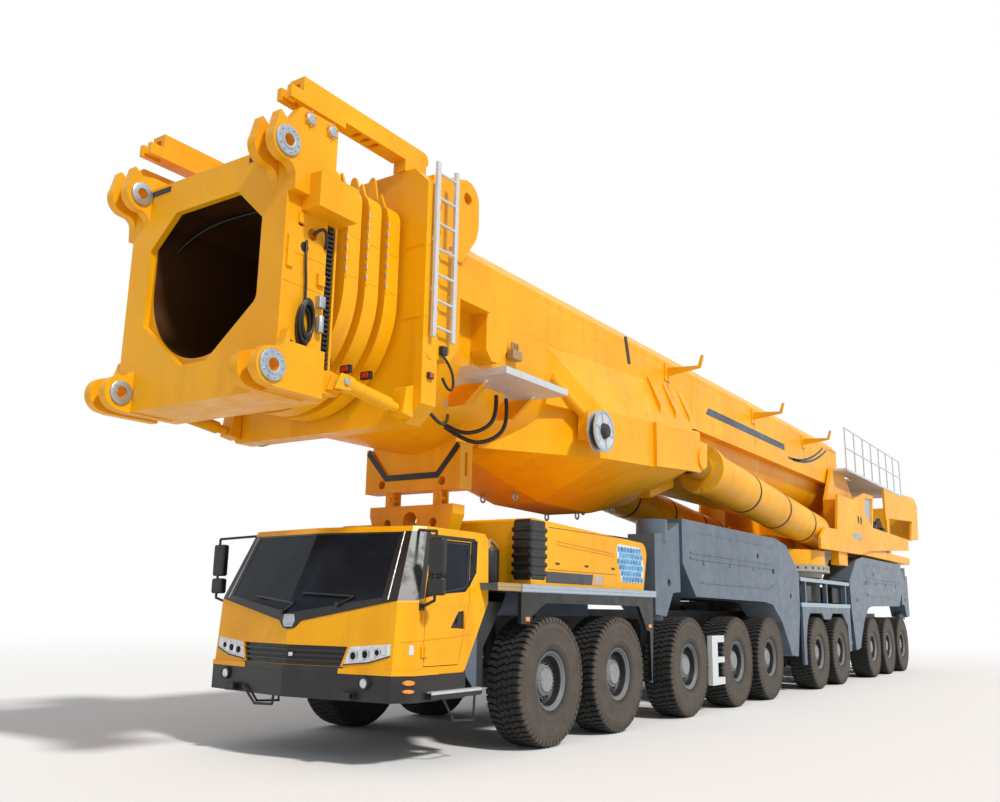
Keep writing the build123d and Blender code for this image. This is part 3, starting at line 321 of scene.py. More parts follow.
def hex_head(name, place, radius, tall, rim, rise):
    """Six-sided nut or bolt head along +X with a smaller raised top."""
    head = round_piece(name, place, radius, tall, "x", 6)
    open_mesh(head)
    pick(head, facing((1, 0, 0)))
    bpy.ops.mesh.inset(thickness=rim, depth=0)
    bpy.ops.mesh.extrude_region_move(TRANSFORM_OT_translate={"value": (rise, 0, 0)})
    close_mesh()
    return head


# ================================================================ finishes
def feed(node, *first, **named):
    """Sets a node's inputs, or links those whose value comes from another node."""
    for key, value in [*enumerate(first), *named.items()]:
        socket = node.inputs[key.replace("_", " ") if isinstance(key, str) else key]
        if isinstance(value, bpy.types.NodeSocket):
            node.id_data.links.new(value, socket)
        else:
            socket.default_value = value
    return node


def added(tree, kind, *first, **named):
    return feed(tree.nodes.new(f"ShaderNode{kind}"), *first, **named)


def sums(operation, *values):
    """Result of a math node."""
    node = added(values[0].id_data, "Math", *values)
    node.operation = operation
    return node.outputs[0]


def axes_of(place):
    """The X, Y and Z of a place."""
    return added(place.id_data, "SeparateXYZ", place).outputs


def length(vector):
    node = added(vector.id_data, "VectorMath", vector)
    node.operation = "LENGTH"
    return node.outputs["Value"]


def metres_along(tree):
    return tree.nodes.new("ShaderNodeTexCoord").outputs["Object"]


def finish_base(name, roughness, metal=0.0):
    material = bpy.data.materials.new(name)
    material.use_nodes = True
    tree = material.node_tree
    shader = feed(tree.nodes["Principled BSDF"], Roughness=roughness, Metallic=metal)
    return material, shader, metres_along(tree)


def finish_copy(source, name):
    """Copy of a finish, its shader, its colour so far and the place."""
    material = source.copy()
    material.name = name
    tree = material.node_tree
    shader = tree.nodes["Principled BSDF"]
    return material, shader, shader.inputs["Base Color"].links[0].from_socket, metres_along(tree)


def grain(place, scale, detail=4.0, stretch=(1, 1, 1), rough=0.55):
    tree = place.id_data
    turned = added(tree, "Mapping", Vector=place, Scale=stretch).outputs["Vector"]
    return added(tree, "TexNoise", Vector=turned, Scale=scale,
                 Detail=detail, Roughness=rough).outputs["Fac"]


def graded(value, low, high, out_low=0.0, out_high=1.0):
    return added(value.id_data, "MapRange", Value=value, From_Min=low, From_Max=high, To_Min=out_low,
                 To_Max=out_high).outputs["Result"]


def blended(share, first, second):
    """Mix of two colours, each a socket or a triple."""
    node = share.id_data.nodes.new("ShaderNodeMix")
    node.data_type = "RGBA"
    first, second = [(*colour, 1) if isinstance(colour, tuple) else colour for colour in (first, second)]
    for socket, value in ((0, share), (6, first), (7, second)):
        if isinstance(value, tuple):
            node.inputs[socket].default_value = value
        else:
            node.id_data.links.new(value, node.inputs[socket])
    return node.outputs[2]


def dented(shader, value, strength, distance=0.004):
    bump = added(shader.id_data, "Bump", Height=value, Strength=strength, Distance=distance)
    feed(shader, Normal=bump.outputs["Normal"])


def painted(name, colour, shade, dust, roughness=0.4, dust_share=0.3, coat=0.25):
    """Machine paint: uneven tone, rain streaks, patches of dust and a faint orange peel."""
    material, shader, place = finish_base(name, roughness)
    tone = graded(grain(place, 0.7, 5), 0.35, 0.7)
    streak = graded(grain(place, 2.2, 6, (1.6, 1.6, 0.16)), 0.52, 0.75, 0.0, 0.55)
    patch = graded(grain(place, 3.1, 8, rough=0.65), 0.55, 0.78, 0.0, dust_share)
    speck = graded(grain(place, 46, 3), 0.66, 0.74, 0.0, 0.35)
    base = blended(tone, colour, shade)
    base = blended(streak, base, tuple(c * 0.82 for c in shade))
    base = blended(patch, base, dust)
    base = blended(speck, base, tuple(c * 0.6 for c in shade))
    feed(shader, Base_Color=base, Specular_IOR_Level=0.3, Coat_Weight=coat, Coat_Roughness=0.2,
         Roughness=graded(grain(place, 5.3, 6), 0.3, 0.75, roughness - 0.1, roughness + 0.18))
    dented(shader, grain(place, 90, 3), 0.06, 0.002)
    return material


def within(place, axis, low, high):
    """1 where the place lies between two metre marks of an axis, "-x" for both sides, else 0."""
    soft = 0.01
    value = axes_of(place)[axis.upper()[-1]]
    if axis.startswith("-"):
        value = sums("ABSOLUTE", value)
    return both(graded(value, low - soft, low + soft), graded(value, high - soft, high + soft, 1.0, 0.0))


def both(*shares):
    """Product of several shares."""
    total = shares[0]
    for share in shares[1:]:
        total = sums("MULTIPLY", total, share)
    return total


def hollow(place, half, top):
    """1 inside a bore with a round bottom about BORE_CENTRE, straight sides and a flat top: where the
    bores' painted shade goes.
    """
    marks, soft = axes_of(place), 0.004
    drop = graded(marks["Z"], BORE_CENTRE - 4, BORE_CENTRE, -4, 0)
    reach = length(added(place.id_data, "CombineXYZ", X=marks["X"], Z=drop).outputs[0])
    return both(graded(reach, half - soft, half + soft, 1.0, 0.0),
                graded(marks["Z"], top - soft, top + soft, 1.0, 0.0))


def shade_painted_bore(name, source, half, top, front):
    """Copy of a paint whose bore, behind its front edge, is dark with painted shade."""
    material, shader, base, place = finish_copy(source, name)
    # painted shade: the bore's inside turns dark brown
    share = both(hollow(place, half, top), within(place, "y", front + FIRST_AXLE, 40))
    feed(shader, Base_Color=blended(share, base, BORE_PAINTED_SHADE))
    return material


def overpainted(name, source, colour, marks):
    """Copy of a paint with another colour inside a box of (axis, low, high), from the first axle."""
    material, shader, base, place = finish_copy(source, name)
    shares = []
    for axis, low, high in marks:
        move = FIRST_AXLE if axis == "y" else 0.0
        shares.append(within(place, axis, low + move, high + move))
    feed(shader, Base_Color=blended(both(*shares), base, colour))
    return material


def moulded(name, colour, roughness=0.55, dust=(0.16, 0.14, 0.12), share=0.35):
    """Black or grey plastic and chassis paint with a dusty bloom."""
    material, shader, place = finish_base(name, roughness)
    bloom = graded(grain(place, 4.2, 7, rough=0.65), 0.48, 0.8, 0.0, share)
    scuff = graded(grain(place, 26, 5, (1, 1, 0.3)), 0.62, 0.72, 0.0, 0.25)
    base = blended(bloom, colour, dust)
    feed(shader, Base_Color=blended(scuff, base, tuple(c * 1.6 + 0.01 for c in colour)),
         Roughness=graded(bloom, 0.0, share, roughness, min(1.0, roughness + 0.3)))
    dented(shader, grain(place, 210, 2), 0.08, 0.001)
    return material


def bare_metal(name, colour, roughness=0.35, metal=0.9, stain=(0.12, 0.09, 0.07)):
    """Metal with stains and a brushed grain."""
    material, shader, place = finish_base(name, roughness, metal)
    patch = graded(grain(place, 9, 7, rough=0.7), 0.5, 0.75, 0.0, 0.6)
    brushed = grain(place, 60, 3, (1, 0.05, 1))
    feed(shader, Base_Color=blended(patch, colour, stain),
         Roughness=graded(brushed, 0.3, 0.7, roughness - 0.1, roughness + 0.2))
    dented(shader, brushed, 0.05, 0.001)
    return material


def tyre_rubber():
    """Black tread with grey dust in it and brown dried mud on the sidewalls."""
    material, shader, place = finish_base("tyre_rubber", 0.85)
    wall = graded(sums("ABSOLUTE", axes_of(place)["X"]), 1.674, 1.692)
    mud = graded(grain(place, 5.5, 8, rough=0.7), 0.35, 0.72)
    fine = graded(grain(place, 70, 4), 0.4, 0.75, 0.0, 0.45)
    brown = blended(mud, (0.062, 0.050, 0.042), (0.100, 0.080, 0.062))
    dark = blended(mud, (0.010, 0.010, 0.011), (0.030, 0.029, 0.028))
    feed(shader, Base_Color=blended(fine, blended(wall, dark, brown), (0.050, 0.044, 0.040)))
    dented(shader, grain(place, 130, 4), 0.25, 0.002)
    return material


def dark_glass():
    """Black tinted glass as it looks from outside in the sun."""
    material, shader, place = finish_base("cab_dark_glass", 0.22)
    haze = graded(grain(place, 2.1, 6), 0.45, 0.8, 0.0, 0.6)
    feed(shader, Base_Color=blended(haze, (0.006, 0.010, 0.018), (0.020, 0.030, 0.044)),
         Specular_IOR_Level=0.12, Roughness=graded(haze, 0.0, 0.6, 0.20, 0.34))
    return material


def lamp_glass(name, colour, glow):
    """Ribbed lamp glass, lighter along the ribs as painted glints."""
    material, shader, place = finish_base(name, 0.12)
    ribs = grain(place, 90, 2, (1, 1, 0.15))
    # painted glints: the glow colour lightens the glass along its ribs
    feed(shader, Base_Color=blended(graded(ribs, 0.4, 0.65), colour, glow), Coat_Weight=0.5)
    dented(shader, ribs, 0.2, 0.001)
    return material


def tile_enamel():
    """Blue enamel of uneven tone for the hood's six-sided tiles."""
    material, shader, place = finish_base("hood_tile_blue", 0.4)
    tone = graded(grain(place, 5.2, 5, (0.2, 1, 1.6)), 0.34, 0.66)
    blue = blended(tone, (0.012, 0.135, 0.36), (0.11, 0.41, 0.70))
    worn = graded(grain(place, 30, 5), 0.5, 0.8, 0.0, 0.25)
    feed(shader, Base_Color=blended(worn, blue, (0.3, 0.45, 0.6)))
    return material


def tinted_glass():
    """Glass that lets the cab's inside be seen, with a faint haze."""
    material, shader, place = finish_base("cab_window_glass", 0.04)
    haze = graded(grain(place, 3.0, 6), 0.45, 0.8, 0.0, 0.5)
    feed(shader, Base_Color=blended(haze, (0.10, 0.14, 0.17), (0.16, 0.19, 0.2)), Transmission_Weight=0.8,
         IOR=1.45, Roughness=graded(haze, 0.0, 0.5, 0.03, 0.12))
    return material


CRANE_YELLOW = painted("crane_yellow_paint", (0.90, 0.430, 0.001), (0.82, 0.345, 0.001), (0.50, 0.27, 0.05),
                       roughness=0.42, dust_share=0.10, coat=0.08)
SLATE_GREY = painted("slate_grey_paint", (0.098, 0.135, 0.182), (0.075, 0.105, 0.145), (0.2, 0.2, 0.19),
                     roughness=0.42, dust_share=0.35)
CHASSIS_BLACK = moulded("chassis_black_paint", (0.012, 0.012, 0.013), 0.5)
AXLE_PAINT = moulded("axle_casting_paint", (0.03, 0.031, 0.033), 0.6, share=0.6)
TRIM_BLACK = moulded("cab_trim_plastic", (0.008, 0.008, 0.009), 0.38, share=0.15)
RING_STEEL = bare_metal("slewing_ring_steel", (0.36, 0.34, 0.30), 0.5, 0.35, (0.22, 0.19, 0.15))
PIN_STEEL = bare_metal("pin_and_bush_steel", (0.42, 0.46, 0.5), 0.38, 0.75)
ROD_CHROME = bare_metal("cylinder_rod_chrome", (0.62, 0.63, 0.64), 0.16, 1.0, (0.4, 0.38, 0.36))
GALVANISED = bare_metal("galvanised_rail", (0.62, 0.65, 0.68), 0.42, 0.55, (0.42, 0.43, 0.44))
RIM_GREY = painted("wheel_rim_paint", (0.20, 0.21, 0.215), (0.13, 0.135, 0.14), (0.22, 0.19, 0.16),
                   roughness=0.5, dust_share=0.55, coat=0.0)
RUBBER = tyre_rubber()
WINDOW = tinted_glass()
DARK_GLASS = dark_glass()
LAMP_GLASS = lamp_glass("headlamp_glass", (0.55, 0.60, 0.64), (0.80, 0.84, 0.86))
AMBER = lamp_glass("orange_lamp_glass", (0.75, 0.20, 0.010), (0.90, 0.36, 0.03))
TILE_BLUE = tile_enamel()
DISH_BLACK = moulded("wheel_dish_paint", (0.012, 0.012, 0.013), 0.5, (0.07, 0.055, 0.042), 0.5)
HUB_GREY = painted("hub_paint", (0.30, 0.31, 0.315), (0.22, 0.225, 0.23), (0.20, 0.17, 0.14), roughness=0.5,
                   dust_share=0.5, coat=0.0)
BAND_GREY = painted("hood_band_paint", (0.045, 0.052, 0.060), (0.035, 0.040, 0.048), (0.12, 0.11, 0.10),
                    dust_share=0.2)
WALK_ALLOY = bare_metal("walkway_edge_alloy", (0.40, 0.47, 0.54), 0.42, 0.45, (0.28, 0.31, 0.34))
RED_GLASS = lamp_glass("red_lamp_glass", (0.45, 0.008, 0.006), (0.62, 0.03, 0.02))
BAND_BLUE = painted("flank_band_paint", (0.035, 0.06, 0.10),
                    (0.02, 0.03, 0.05), (0.12, 0.12, 0.12), dust_share=0.2)
WALK_END = painted("walkway_end_paint", (0.42, 0.27, 0.12),
                   (0.34, 0.21, 0.09), (0.3, 0.25, 0.2), dust_share=0.4)
TILE_WHITE = painted("hood_tile_ground", (0.74, 0.80, 0.86),
                     (0.62, 0.70, 0.77), (0.5, 0.48, 0.44), dust_share=0.2)
BORE_PAINTED_SHADE = (0.060, 0.022, 0.006)          # painted brown shade inside the boom
BORE_CENTRE = 4.820           # height of the round bottom's middle
# head and sleeve paints with painted shade in their bores
HEAD_YELLOW_BORE_SHADED = shade_painted_bore("boom_head_paint_bore_shade", CRANE_YELLOW, 1.010, 5.930, -4.075)
SLEEVE_YELLOW_BORE_SHADED = shade_painted_bore("boom_sleeve_paint_bore_shade", CRANE_YELLOW, 0.860, 5.770, -5.0)
CHASSIS_MIXED = overpainted("chassis_paint", CHASSIS_BLACK, (0.62, 0.64, 0.66),
                            (("-x", 1.650, 1.90), ("y", 4.86, 5.50), ("z", 0.38, 1.22)))
FITTING_PAINT = overpainted("boom_fitting_paint", GALVANISED, (0.86, 0.36, 0.002),
                            (("-x", 1.0, 2.2), ("y", -1.98, 0.50), ("z", 3.3, 4.128)))
DECK_PAINT = overpainted("carrier_deck_paint", SLATE_GREY, (0.010, 0.010, 0.011),
                         (("-x", 0.9, 2.0), ("y", -1.2, 2.96), ("z", 0.6, 1.755)))
SEAT_CLOTH = moulded("cab_seat_cloth", (0.03, 0.032, 0.036), 0.8)
ENGINE_IRON = moulded("engine_iron", (0.05, 0.05, 0.052), 0.6)

CAD_FINISHES = {CRANE_YELLOW: ("cab_shell", "cab_door_left", "cab_door_right", "engine_hood",
                               "boom_rest", "superstructure_frame", "superstructure_tail",
                               "luffing_barrels", "boom_base", "boom_section_1",
                               "boom_section_2", "boom_section_3", "boom_top_bars"),
                SLATE_GREY: ("outrigger_front_left", "outrigger_front_right",
                             "outrigger_rear_left", "outrigger_rear_right", "hoist_winches"),
                TRIM_BLACK: ("front_bumper", "cab_mirrors"), AXLE_PAINT: ("axle_beams",),
                CHASSIS_MIXED: ("chassis_frame",), RING_STEEL: ("slewing_ring",),
                WINDOW: ("cab_glass",), SEAT_CLOTH: ("cab_interior",), ENGINE_IRON: ("engine_block",),
                DECK_PAINT: ("catwalks",), GALVANISED: ("platform_railing",),
                ROD_CHROME: ("luffing_rods",), FITTING_PAINT: ("boom_side_fittings",),
                SLEEVE_YELLOW_BORE_SHADED: ("boom_section_4",), HEAD_YELLOW_BORE_SHADED: ("boom_head",),}
finish_of = {node: paint for paint, nodes in CAD_FINISHES.items() for node in nodes}
for node, solid in solids.items():
    dressed(solid, finish_of.get(node, AXLE_PAINT if node.startswith("knuckle") else RUBBER))


# ================================================================ wheels
LUGS = 56                     # shoulder lugs and tread blocks round a tyre
LIP_R = 0.287                 # the rim's dark dish lies inside this radius


def copied(master, name, move):
    """Another piece with its own mesh, moved by a matrix."""
    piece = master.copy()
    piece.data = master.data.copy()
    piece.data.transform(move)
    piece.name = name
    bpy.context.collection.objects.link(piece)
    return piece


def removed(piece):
    bpy.data.objects.remove(piece)


def round_the_axle(count, start=0.0):
    return [Matrix.Rotation(start + 2 * pi * n / count, 4, "X") for n in range(count)]


def tyre():
    """Carcass with raised rings on its sidewalls, shoulder lugs and four rows of tread blocks."""
    side = [(0.192, 0.326), (0.207, 0.343), (0.2205, 0.384), (0.2255, 0.418), (0.2305, 0.424),
            (0.2315, 0.438), (0.2285, 0.446), (0.2335, 0.500), (0.2350, 0.560),
            (0.2335, 0.600), (0.2365, 0.606), (0.2365, 0.616), (0.2330, 0.624),
            (0.2300, 0.660), (0.2210, 0.700), (0.2060, 0.716), (0.0900, 0.722)]
    outline = side + [(-x, r) for x, r in reversed(side)]
    parts = [smooth(turned_piece("tyre_carcass", outline, (0, 0, 0), 88))]
    for sign in (1, -1):
        section = [(0.146, 0.712), (0.146, 0.7440), (0.202, 0.7415), (0.2270, 0.7240), (0.2345, 0.694),
                   (0.2340, 0.674), (0.2200, 0.674)]
        lug = front_piece("shoulder_lug", [(sign * x, z) for x, z in section], (-0.0285, 0.0285))
        open_mesh(lug)
        pick(lug, lambda face: abs(face.calc_center_median().z - 0.741) < 0.004)
        bpy.ops.transform.resize(value=(1, 0.86, 1))
        close_mesh()
        parts.append(repeated("shoulder_lugs", lug, round_the_axle(LUGS, 0.02 * sign)))
    for row, x in enumerate((-0.1065, -0.0355, 0.0355, 0.1065)):
        lean = 0.012 if row % 2 else -0.012
        base = [(x - 0.031, -0.027 - lean), (x + 0.031, -0.027 + lean),
                (x + 0.031, 0.022 + lean), (x, 0.031), (x - 0.031, 0.022 - lean)]
        block = drawn_piece("tread_block", [(bx, by, 0.718) for bx, by in base], (0, 0, 0.0265))
        parts.append(repeated("tread_row", block, round_the_axle(LUGS, 0.056 * (row % 2) + 0.03 * row)))
    return dressed(joined("tyre", parts), RUBBER)


def rim():
    """Well with two rolled lips outside, the disc with its hand holes, black inside as painted shade, and
    the back dish.
    """
    outline = [(0.2000, 0.340), (0.2065, 0.334), (0.2050, 0.324), (0.1960, 0.318), (0.1800, 0.313),
               (0.1740, 0.302), (0.1790, 0.294), (0.1720, 0.287), (0.1500, 0.284), (0.1000, 0.280),
               (0.0720, 0.268), (0.0600, 0.240), (0.0600, 0.190), (-0.0390, 0.190), (-0.0390, 0.280),
               (-0.1700, 0.318), (-0.2000, 0.340), (-0.1900, 0.350), (0.1880, 0.350)]
    well = dressed(smooth(turned_piece("rim_well", outline, (0, 0, 0), 72), 50), RIM_GREY, DISH_BLACK)
    for face in well.data.polygons:
        middle = face.center
        face.material_index = 0 if hypot(middle.y, middle.z) > LIP_R else 1
    # painted shade: the hand holes are black cups
    hole = round_piece("hand_hole_shade", (0.064, 0, 0.226), 0.021, 0.014, "x", 16)
    open_mesh(hole)
    pick(hole, facing((1, 0, 0)))
    bpy.ops.mesh.inset(thickness=0.005, depth=0)
    bpy.ops.mesh.extrude_region_move(TRANSFORM_OT_translate={"value": (-0.012, 0, 0)})
    close_mesh()
    holes = dressed(repeated("hand_hole_shades", hole, round_the_axle(10)), TRIM_BLACK)
    return [well, holes]


def hub():
    """Planetary hub with its bolted rim, cap and filler plug, and the ring of wheel nuts behind it."""
    outline = [(0.055, 0.192), (0.074, 0.192), (0.080, 0.184), (0.084, 0.176), (0.118, 0.174),
               (0.126, 0.168), (0.1265, 0.144), (0.134, 0.136), (0.150, 0.132), (0.157, 0.124),
               (0.158, 0.070), (0.1545, 0.066), (0.1545, 0.000), (-0.040, 0.000), (-0.040, 0.192)]
    body = dressed(smooth(turned_piece("hub_body", outline, (0, 0, 0), 56)), HUB_GREY)
    stud = hex_head("hub_stud", (0.131, 0, 0.157), 0.0095, 0.016, 0.0025, 0.005)
    studs = dressed(repeated("hub_studs", stud, round_the_axle(22)), PIN_STEEL)
    nut = hex_head("wheel_nut", (0.072, 0, 0.206), 0.0115, 0.026, 0.003, 0.009)
    nuts = dressed(repeated("wheel_nuts", nut, round_the_axle(20)), HUB_GREY)
    plug = round_piece("hub_plug", (0.156, 0.030, 0.034), 0.012, 0.012, "x", 6)
    soften(plug, 0.002, 1)
    return [body, studs, nuts, dressed(plug, PIN_STEEL)]


def wheels():
    """One wheel modelled, then a copy at each of the twenty hubs, each turned a little further."""
    master = joined("wheel_master", [tyre()] + rim() + hub())
    for n in range(1, 11):
        for side, facing_out in (("left", 0), ("right", pi)):
            low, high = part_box(f"wheel_{n}_{side}")
            turn = Matrix.Rotation(facing_out, 4, "Z") @ Matrix.Rotation(0.61 * n, 4, "X")
            middle = Matrix.Translation((Vector(low) + Vector(high)) / 2)
            piece = copied(master, f"road_wheel_{n}_{side}", middle @ turn)
            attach(piece, f"wheel_{n}_{side}")
            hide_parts(f"wheel_{n}_{side}")
    removed(master)


wheels()


# ================================================================ cab
# height, half width, front at the side, x of the front corner
CAB_LEVELS = [(0.900, 1.450, -2.300, 1.320), (1.620, 1.450, -2.250, 1.320), (2.420, 1.290, -1.950, 1.200)]
CORNER_SLOPE, FRONT_SLOPE = 1.4, 0.145
PANEL_KINK = 1.620            # height where the cab starts to lean back


def cab_size(z):
    below, above = CAB_LEVELS[:2] if z <= PANEL_KINK else CAB_LEVELS[1:]
    share = (z - below[0]) / (above[0] - below[0])
    return [low + (high - low) * share for low, high in zip(below[1:], above[1:])]


def cab_front(x, z):
    """Place of the cab's front skin along the crane."""
    half, side_front, corner_x = cab_size(z)
    corner_y = side_front - CORNER_SLOPE * (half - corner_x)
    if abs(x) <= corner_x:
        return corner_y - FRONT_SLOPE * (corner_x - abs(x))
    return side_front - CORNER_SLOPE * (half - abs(x))


def cab_flank(y, z):
    """Half width of the cab's left skin."""
    half, side_front = cab_size(z)[:2]
    return half if y >= side_front else half - (side_front - y) / CORNER_SLOPE


def split(piece, place, normal):
    open_mesh(piece)
    bpy.ops.mesh.select_all(action="SELECT")
    bpy.ops.mesh.bisect(plane_co=place, plane_no=normal)
    close_mesh()


def on_cab_front(name, outline, proud=0.005, sunk=0.010):
    """Plate drawn in (x, z), pressed onto the cab's front so that it stands proud of the skin."""
    piece = front_piece(name, outline, (-3.0, -2.9))
    corner, kink = CAB_LEVELS[1][3], (0, 0, PANEL_KINK)
    for place, normal in (((0, 0, 0), (1, 0, 0)), (kink, (0, 0, 1)), ((corner, 0, 0), (1, 0, 0)),
                          ((-corner, 0, 0), (1, 0, 0)), ((corner, 0, PANEL_KINK), (0.8, 0, 0.12)),
                          ((-corner, 0, PANEL_KINK), (-0.8, 0, 0.12))):
        split(piece, place, normal)
    for vertex in piece.data.vertices:
        shift = sunk if vertex.co.y > -2.95 else -proud
        vertex.co.y = cab_front(vertex.co.x, vertex.co.z) + shift
    return piece


def on_cab_side(name, outline, proud=0.004, sunk=0.010):
    """Plate drawn in (y, z), pressed onto the cab's left side and front corner."""
    piece = side_piece(name, outline, (2.0, 2.1))
    for place, normal in (((0, 0, PANEL_KINK), (0, 0, 1)), ((0, -2.25, PANEL_KINK), (0, 0.8, -0.3)),
                          ((0, -2.25, PANEL_KINK), (0, 0.72, -0.05))):
        split(piece, place, normal)
    for vertex in piece.data.vertices:
        shift = proud if vertex.co.x > 2.05 else -sunk
        vertex.co.x = cab_flank(vertex.co.y, vertex.co.z) + shift
    return piece


def framed(make, name, outline, width, **offsets):
    """Band of the given width just inside an outline, laid by on_cab_front or on_cab_side."""
    middle = [sum(point[i] for point in outline) / len(outline) for i in (0, 1)]
    inner = []
    for a, b in outline:
        away = hypot(a - middle[0], b - middle[1])
        share = (away - width * 1.35) / away
        inner.append((middle[0] + (a - middle[0]) * share, middle[1] + (b - middle[1]) * share))
    sides = []
    for i in range(len(outline)):
        quad = [outline[i - 1], outline[i], inner[i], inner[i - 1]]
        sides.append(make(f"{name}_{i}", quad, **offsets))
    return joined(name, sides)


def windscreen():
    """Dark screen, its black surround up to both corners, the pointed band below and two wipers."""
    screen = on_cab_front("windscreen_pane", [(-1.140, 1.662), (0, 1.484), (1.140, 1.662), (1.076, 2.338),
                                              (-1.076, 2.338)], proud=0.003, sunk=0.006)
    settle(screen, "carrier", DARK_GLASS)
    rubber = [on_cab_front("screen_rubber_top",
                           [(-1.098, 2.334), (-1.100, 2.356), (1.100, 2.356), (1.098, 2.334)], proud=0.008)]
    pillars, strips = [], []
    for s in (-1, 1):
        rubber.append(on_cab_front("screen_rubber_side", [(s * 1.132, 1.650), (s * 1.156, 1.650),
                                                          (s * 1.092, 2.356), (s * 1.070, 2.350)],
                                   proud=0.008))
        pillars.append(on_cab_front("corner_pillar",
                                    [(s * 1.150, 1.655), (s * 1.300, 1.632), (s * 1.444, 1.640),
                                     (s * 1.304, 2.366), (s * 1.090, 2.360)], proud=0.004))
        strips.append(on_cab_front("pillar_strip", [(s * 1.196, 1.640), (s * 1.212, 1.640),
                                                    (s * 1.132, 2.362), (s * 1.118, 2.362)],
                                   proud=0.013, sunk=0.0))
    settle(joined("screen_rubber", rubber), "carrier", TRIM_BLACK)
    settle(joined("corner_pillars", pillars), "carrier", TRIM_BLACK)
    settle(soften(joined("pillar_strips", strips), 0.003, 1), "carrier", PIN_STEEL)
    band = on_cab_front("front_v_band", [(0, 1.322), (0.088, 1.335), (0.165, 1.410), (1.320, 1.634),
                                         (1.160, 1.668), (0, 1.490), (-1.160, 1.668), (-1.320, 1.634),
                                         (-0.165, 1.410), (-0.088, 1.335)], proud=0.007)
    settle(soften(band, 0.003, 1, 60), "carrier", TRIM_BLACK)
    boss = on_cab_front("front_boss", [(-0.060, 1.346), (0.060, 1.346), (0.088, 1.405), (0.068, 1.478),
                                       (-0.068, 1.478), (-0.088, 1.405)], proud=0.020, sunk=-0.004)
    inset(boss, (0, -1, 0), (0.014, -0.006))
    settle(soften(boss, 0.004, 2), "carrier", PIN_STEEL)
    wipers = []
    for foot, elbow, tip in (((-0.10, 1.500), (0.06, 1.590), (-0.62, 1.660)),
                             ((0.62, 1.585), (0.80, 1.670), (0.14, 1.700))):
        spots = [(x, cab_front(x, z) - 0.026, z) for x, z in (foot, elbow, tip)]
        wipers.append(bar_between("wiper_arm", spots[0], spots[1], 0.009, 8))
        wipers.append(bar_between("wiper_blade", spots[1], spots[2], 0.012, 6))
        wipers.append(soften(round_piece("wiper_boss", spots[0], 0.026, 0.05, "y", 14), 0.006, 1))
    settle(joined("wipers", wipers), "carrier", TRIM_BLACK)


def grille():
    """Dark grille between the headlamps with its three slats, the sill under it and a small latch."""
    floor = on_cab_front("grille_floor", [(-0.777, 0.963), (0, 0.963), (0.777, 0.963), (0.777, 1.167),
                                          (0, 1.167), (-0.777, 1.167)], proud=-0.0335, sunk=0.052)
    slats = [floor]
    for z in (1.015, 1.065, 1.115):
        reach = 0.705 + (z - 0.965) * 0.35 - 0.004
        slat = on_cab_front("grille_slat", [(-reach, z - 0.013), (0, z - 0.013), (reach, z - 0.013),
                                            (reach, z + 0.013), (0, z + 0.013), (-reach, z + 0.013)],
                            proud=0.001, sunk=0.045)
        slats.append(soften(slat, 0.005, 2, 50))
    settle(joined("grille_slats", slats), "carrier", TRIM_BLACK)
    sill = on_cab_front("grille_sill", [(-0.716, 0.897), (0.716, 0.897), (0.742, 0.962), (0.705, 0.964),
                                        (-0.705, 0.964), (-0.742, 0.962)], proud=0.012)
    settle(soften(sill, 0.004, 1), "carrier", TRIM_BLACK)
    latch = on_cab_front("grille_latch", [(0.055, 1.048), (0.105, 1.048), (0.105, 1.090), (0.055, 1.090)],
                         proud=0.016, sunk=0.01)
    settle(soften(latch, 0.006, 2), "carrier", ROD_CHROME)


def lens(name, x, y, z, radius, depth=0.02):
    """Domed round glass facing forward."""
    put_down()
    bpy.ops.mesh.primitive_uv_sphere_add(segments=28, ring_count=14, radius=radius, location=(x, y, z),
                                         rotation=(pi / 2, 0, 0))
    piece = bpy.context.object
    piece.name = name
    level(piece)
    open_mesh(piece)
    bpy.ops.mesh.select_all(action="SELECT")
    bpy.ops.mesh.bisect(plane_co=(x, y, z), plane_no=(0, 1, 0), clear_outer=True, use_fill=True)
    close_mesh()
    for vertex in piece.data.vertices:
        vertex.co.y = y + (vertex.co.y - y) * depth / radius
    return smooth(piece, 60)


def bezel(name, x, y, z, radius, depth=0.03, wall=0.012):
    """Round cup open to the front."""
    piece = round_piece(name, (x, y, z), radius, depth, "y", 32)
    inset(piece, (0, -1, 0), (wall * 0.4, 0.004), (wall * 0.6, -0.002), (0.001, -depth * 0.6))
    return smooth(piece, 40)


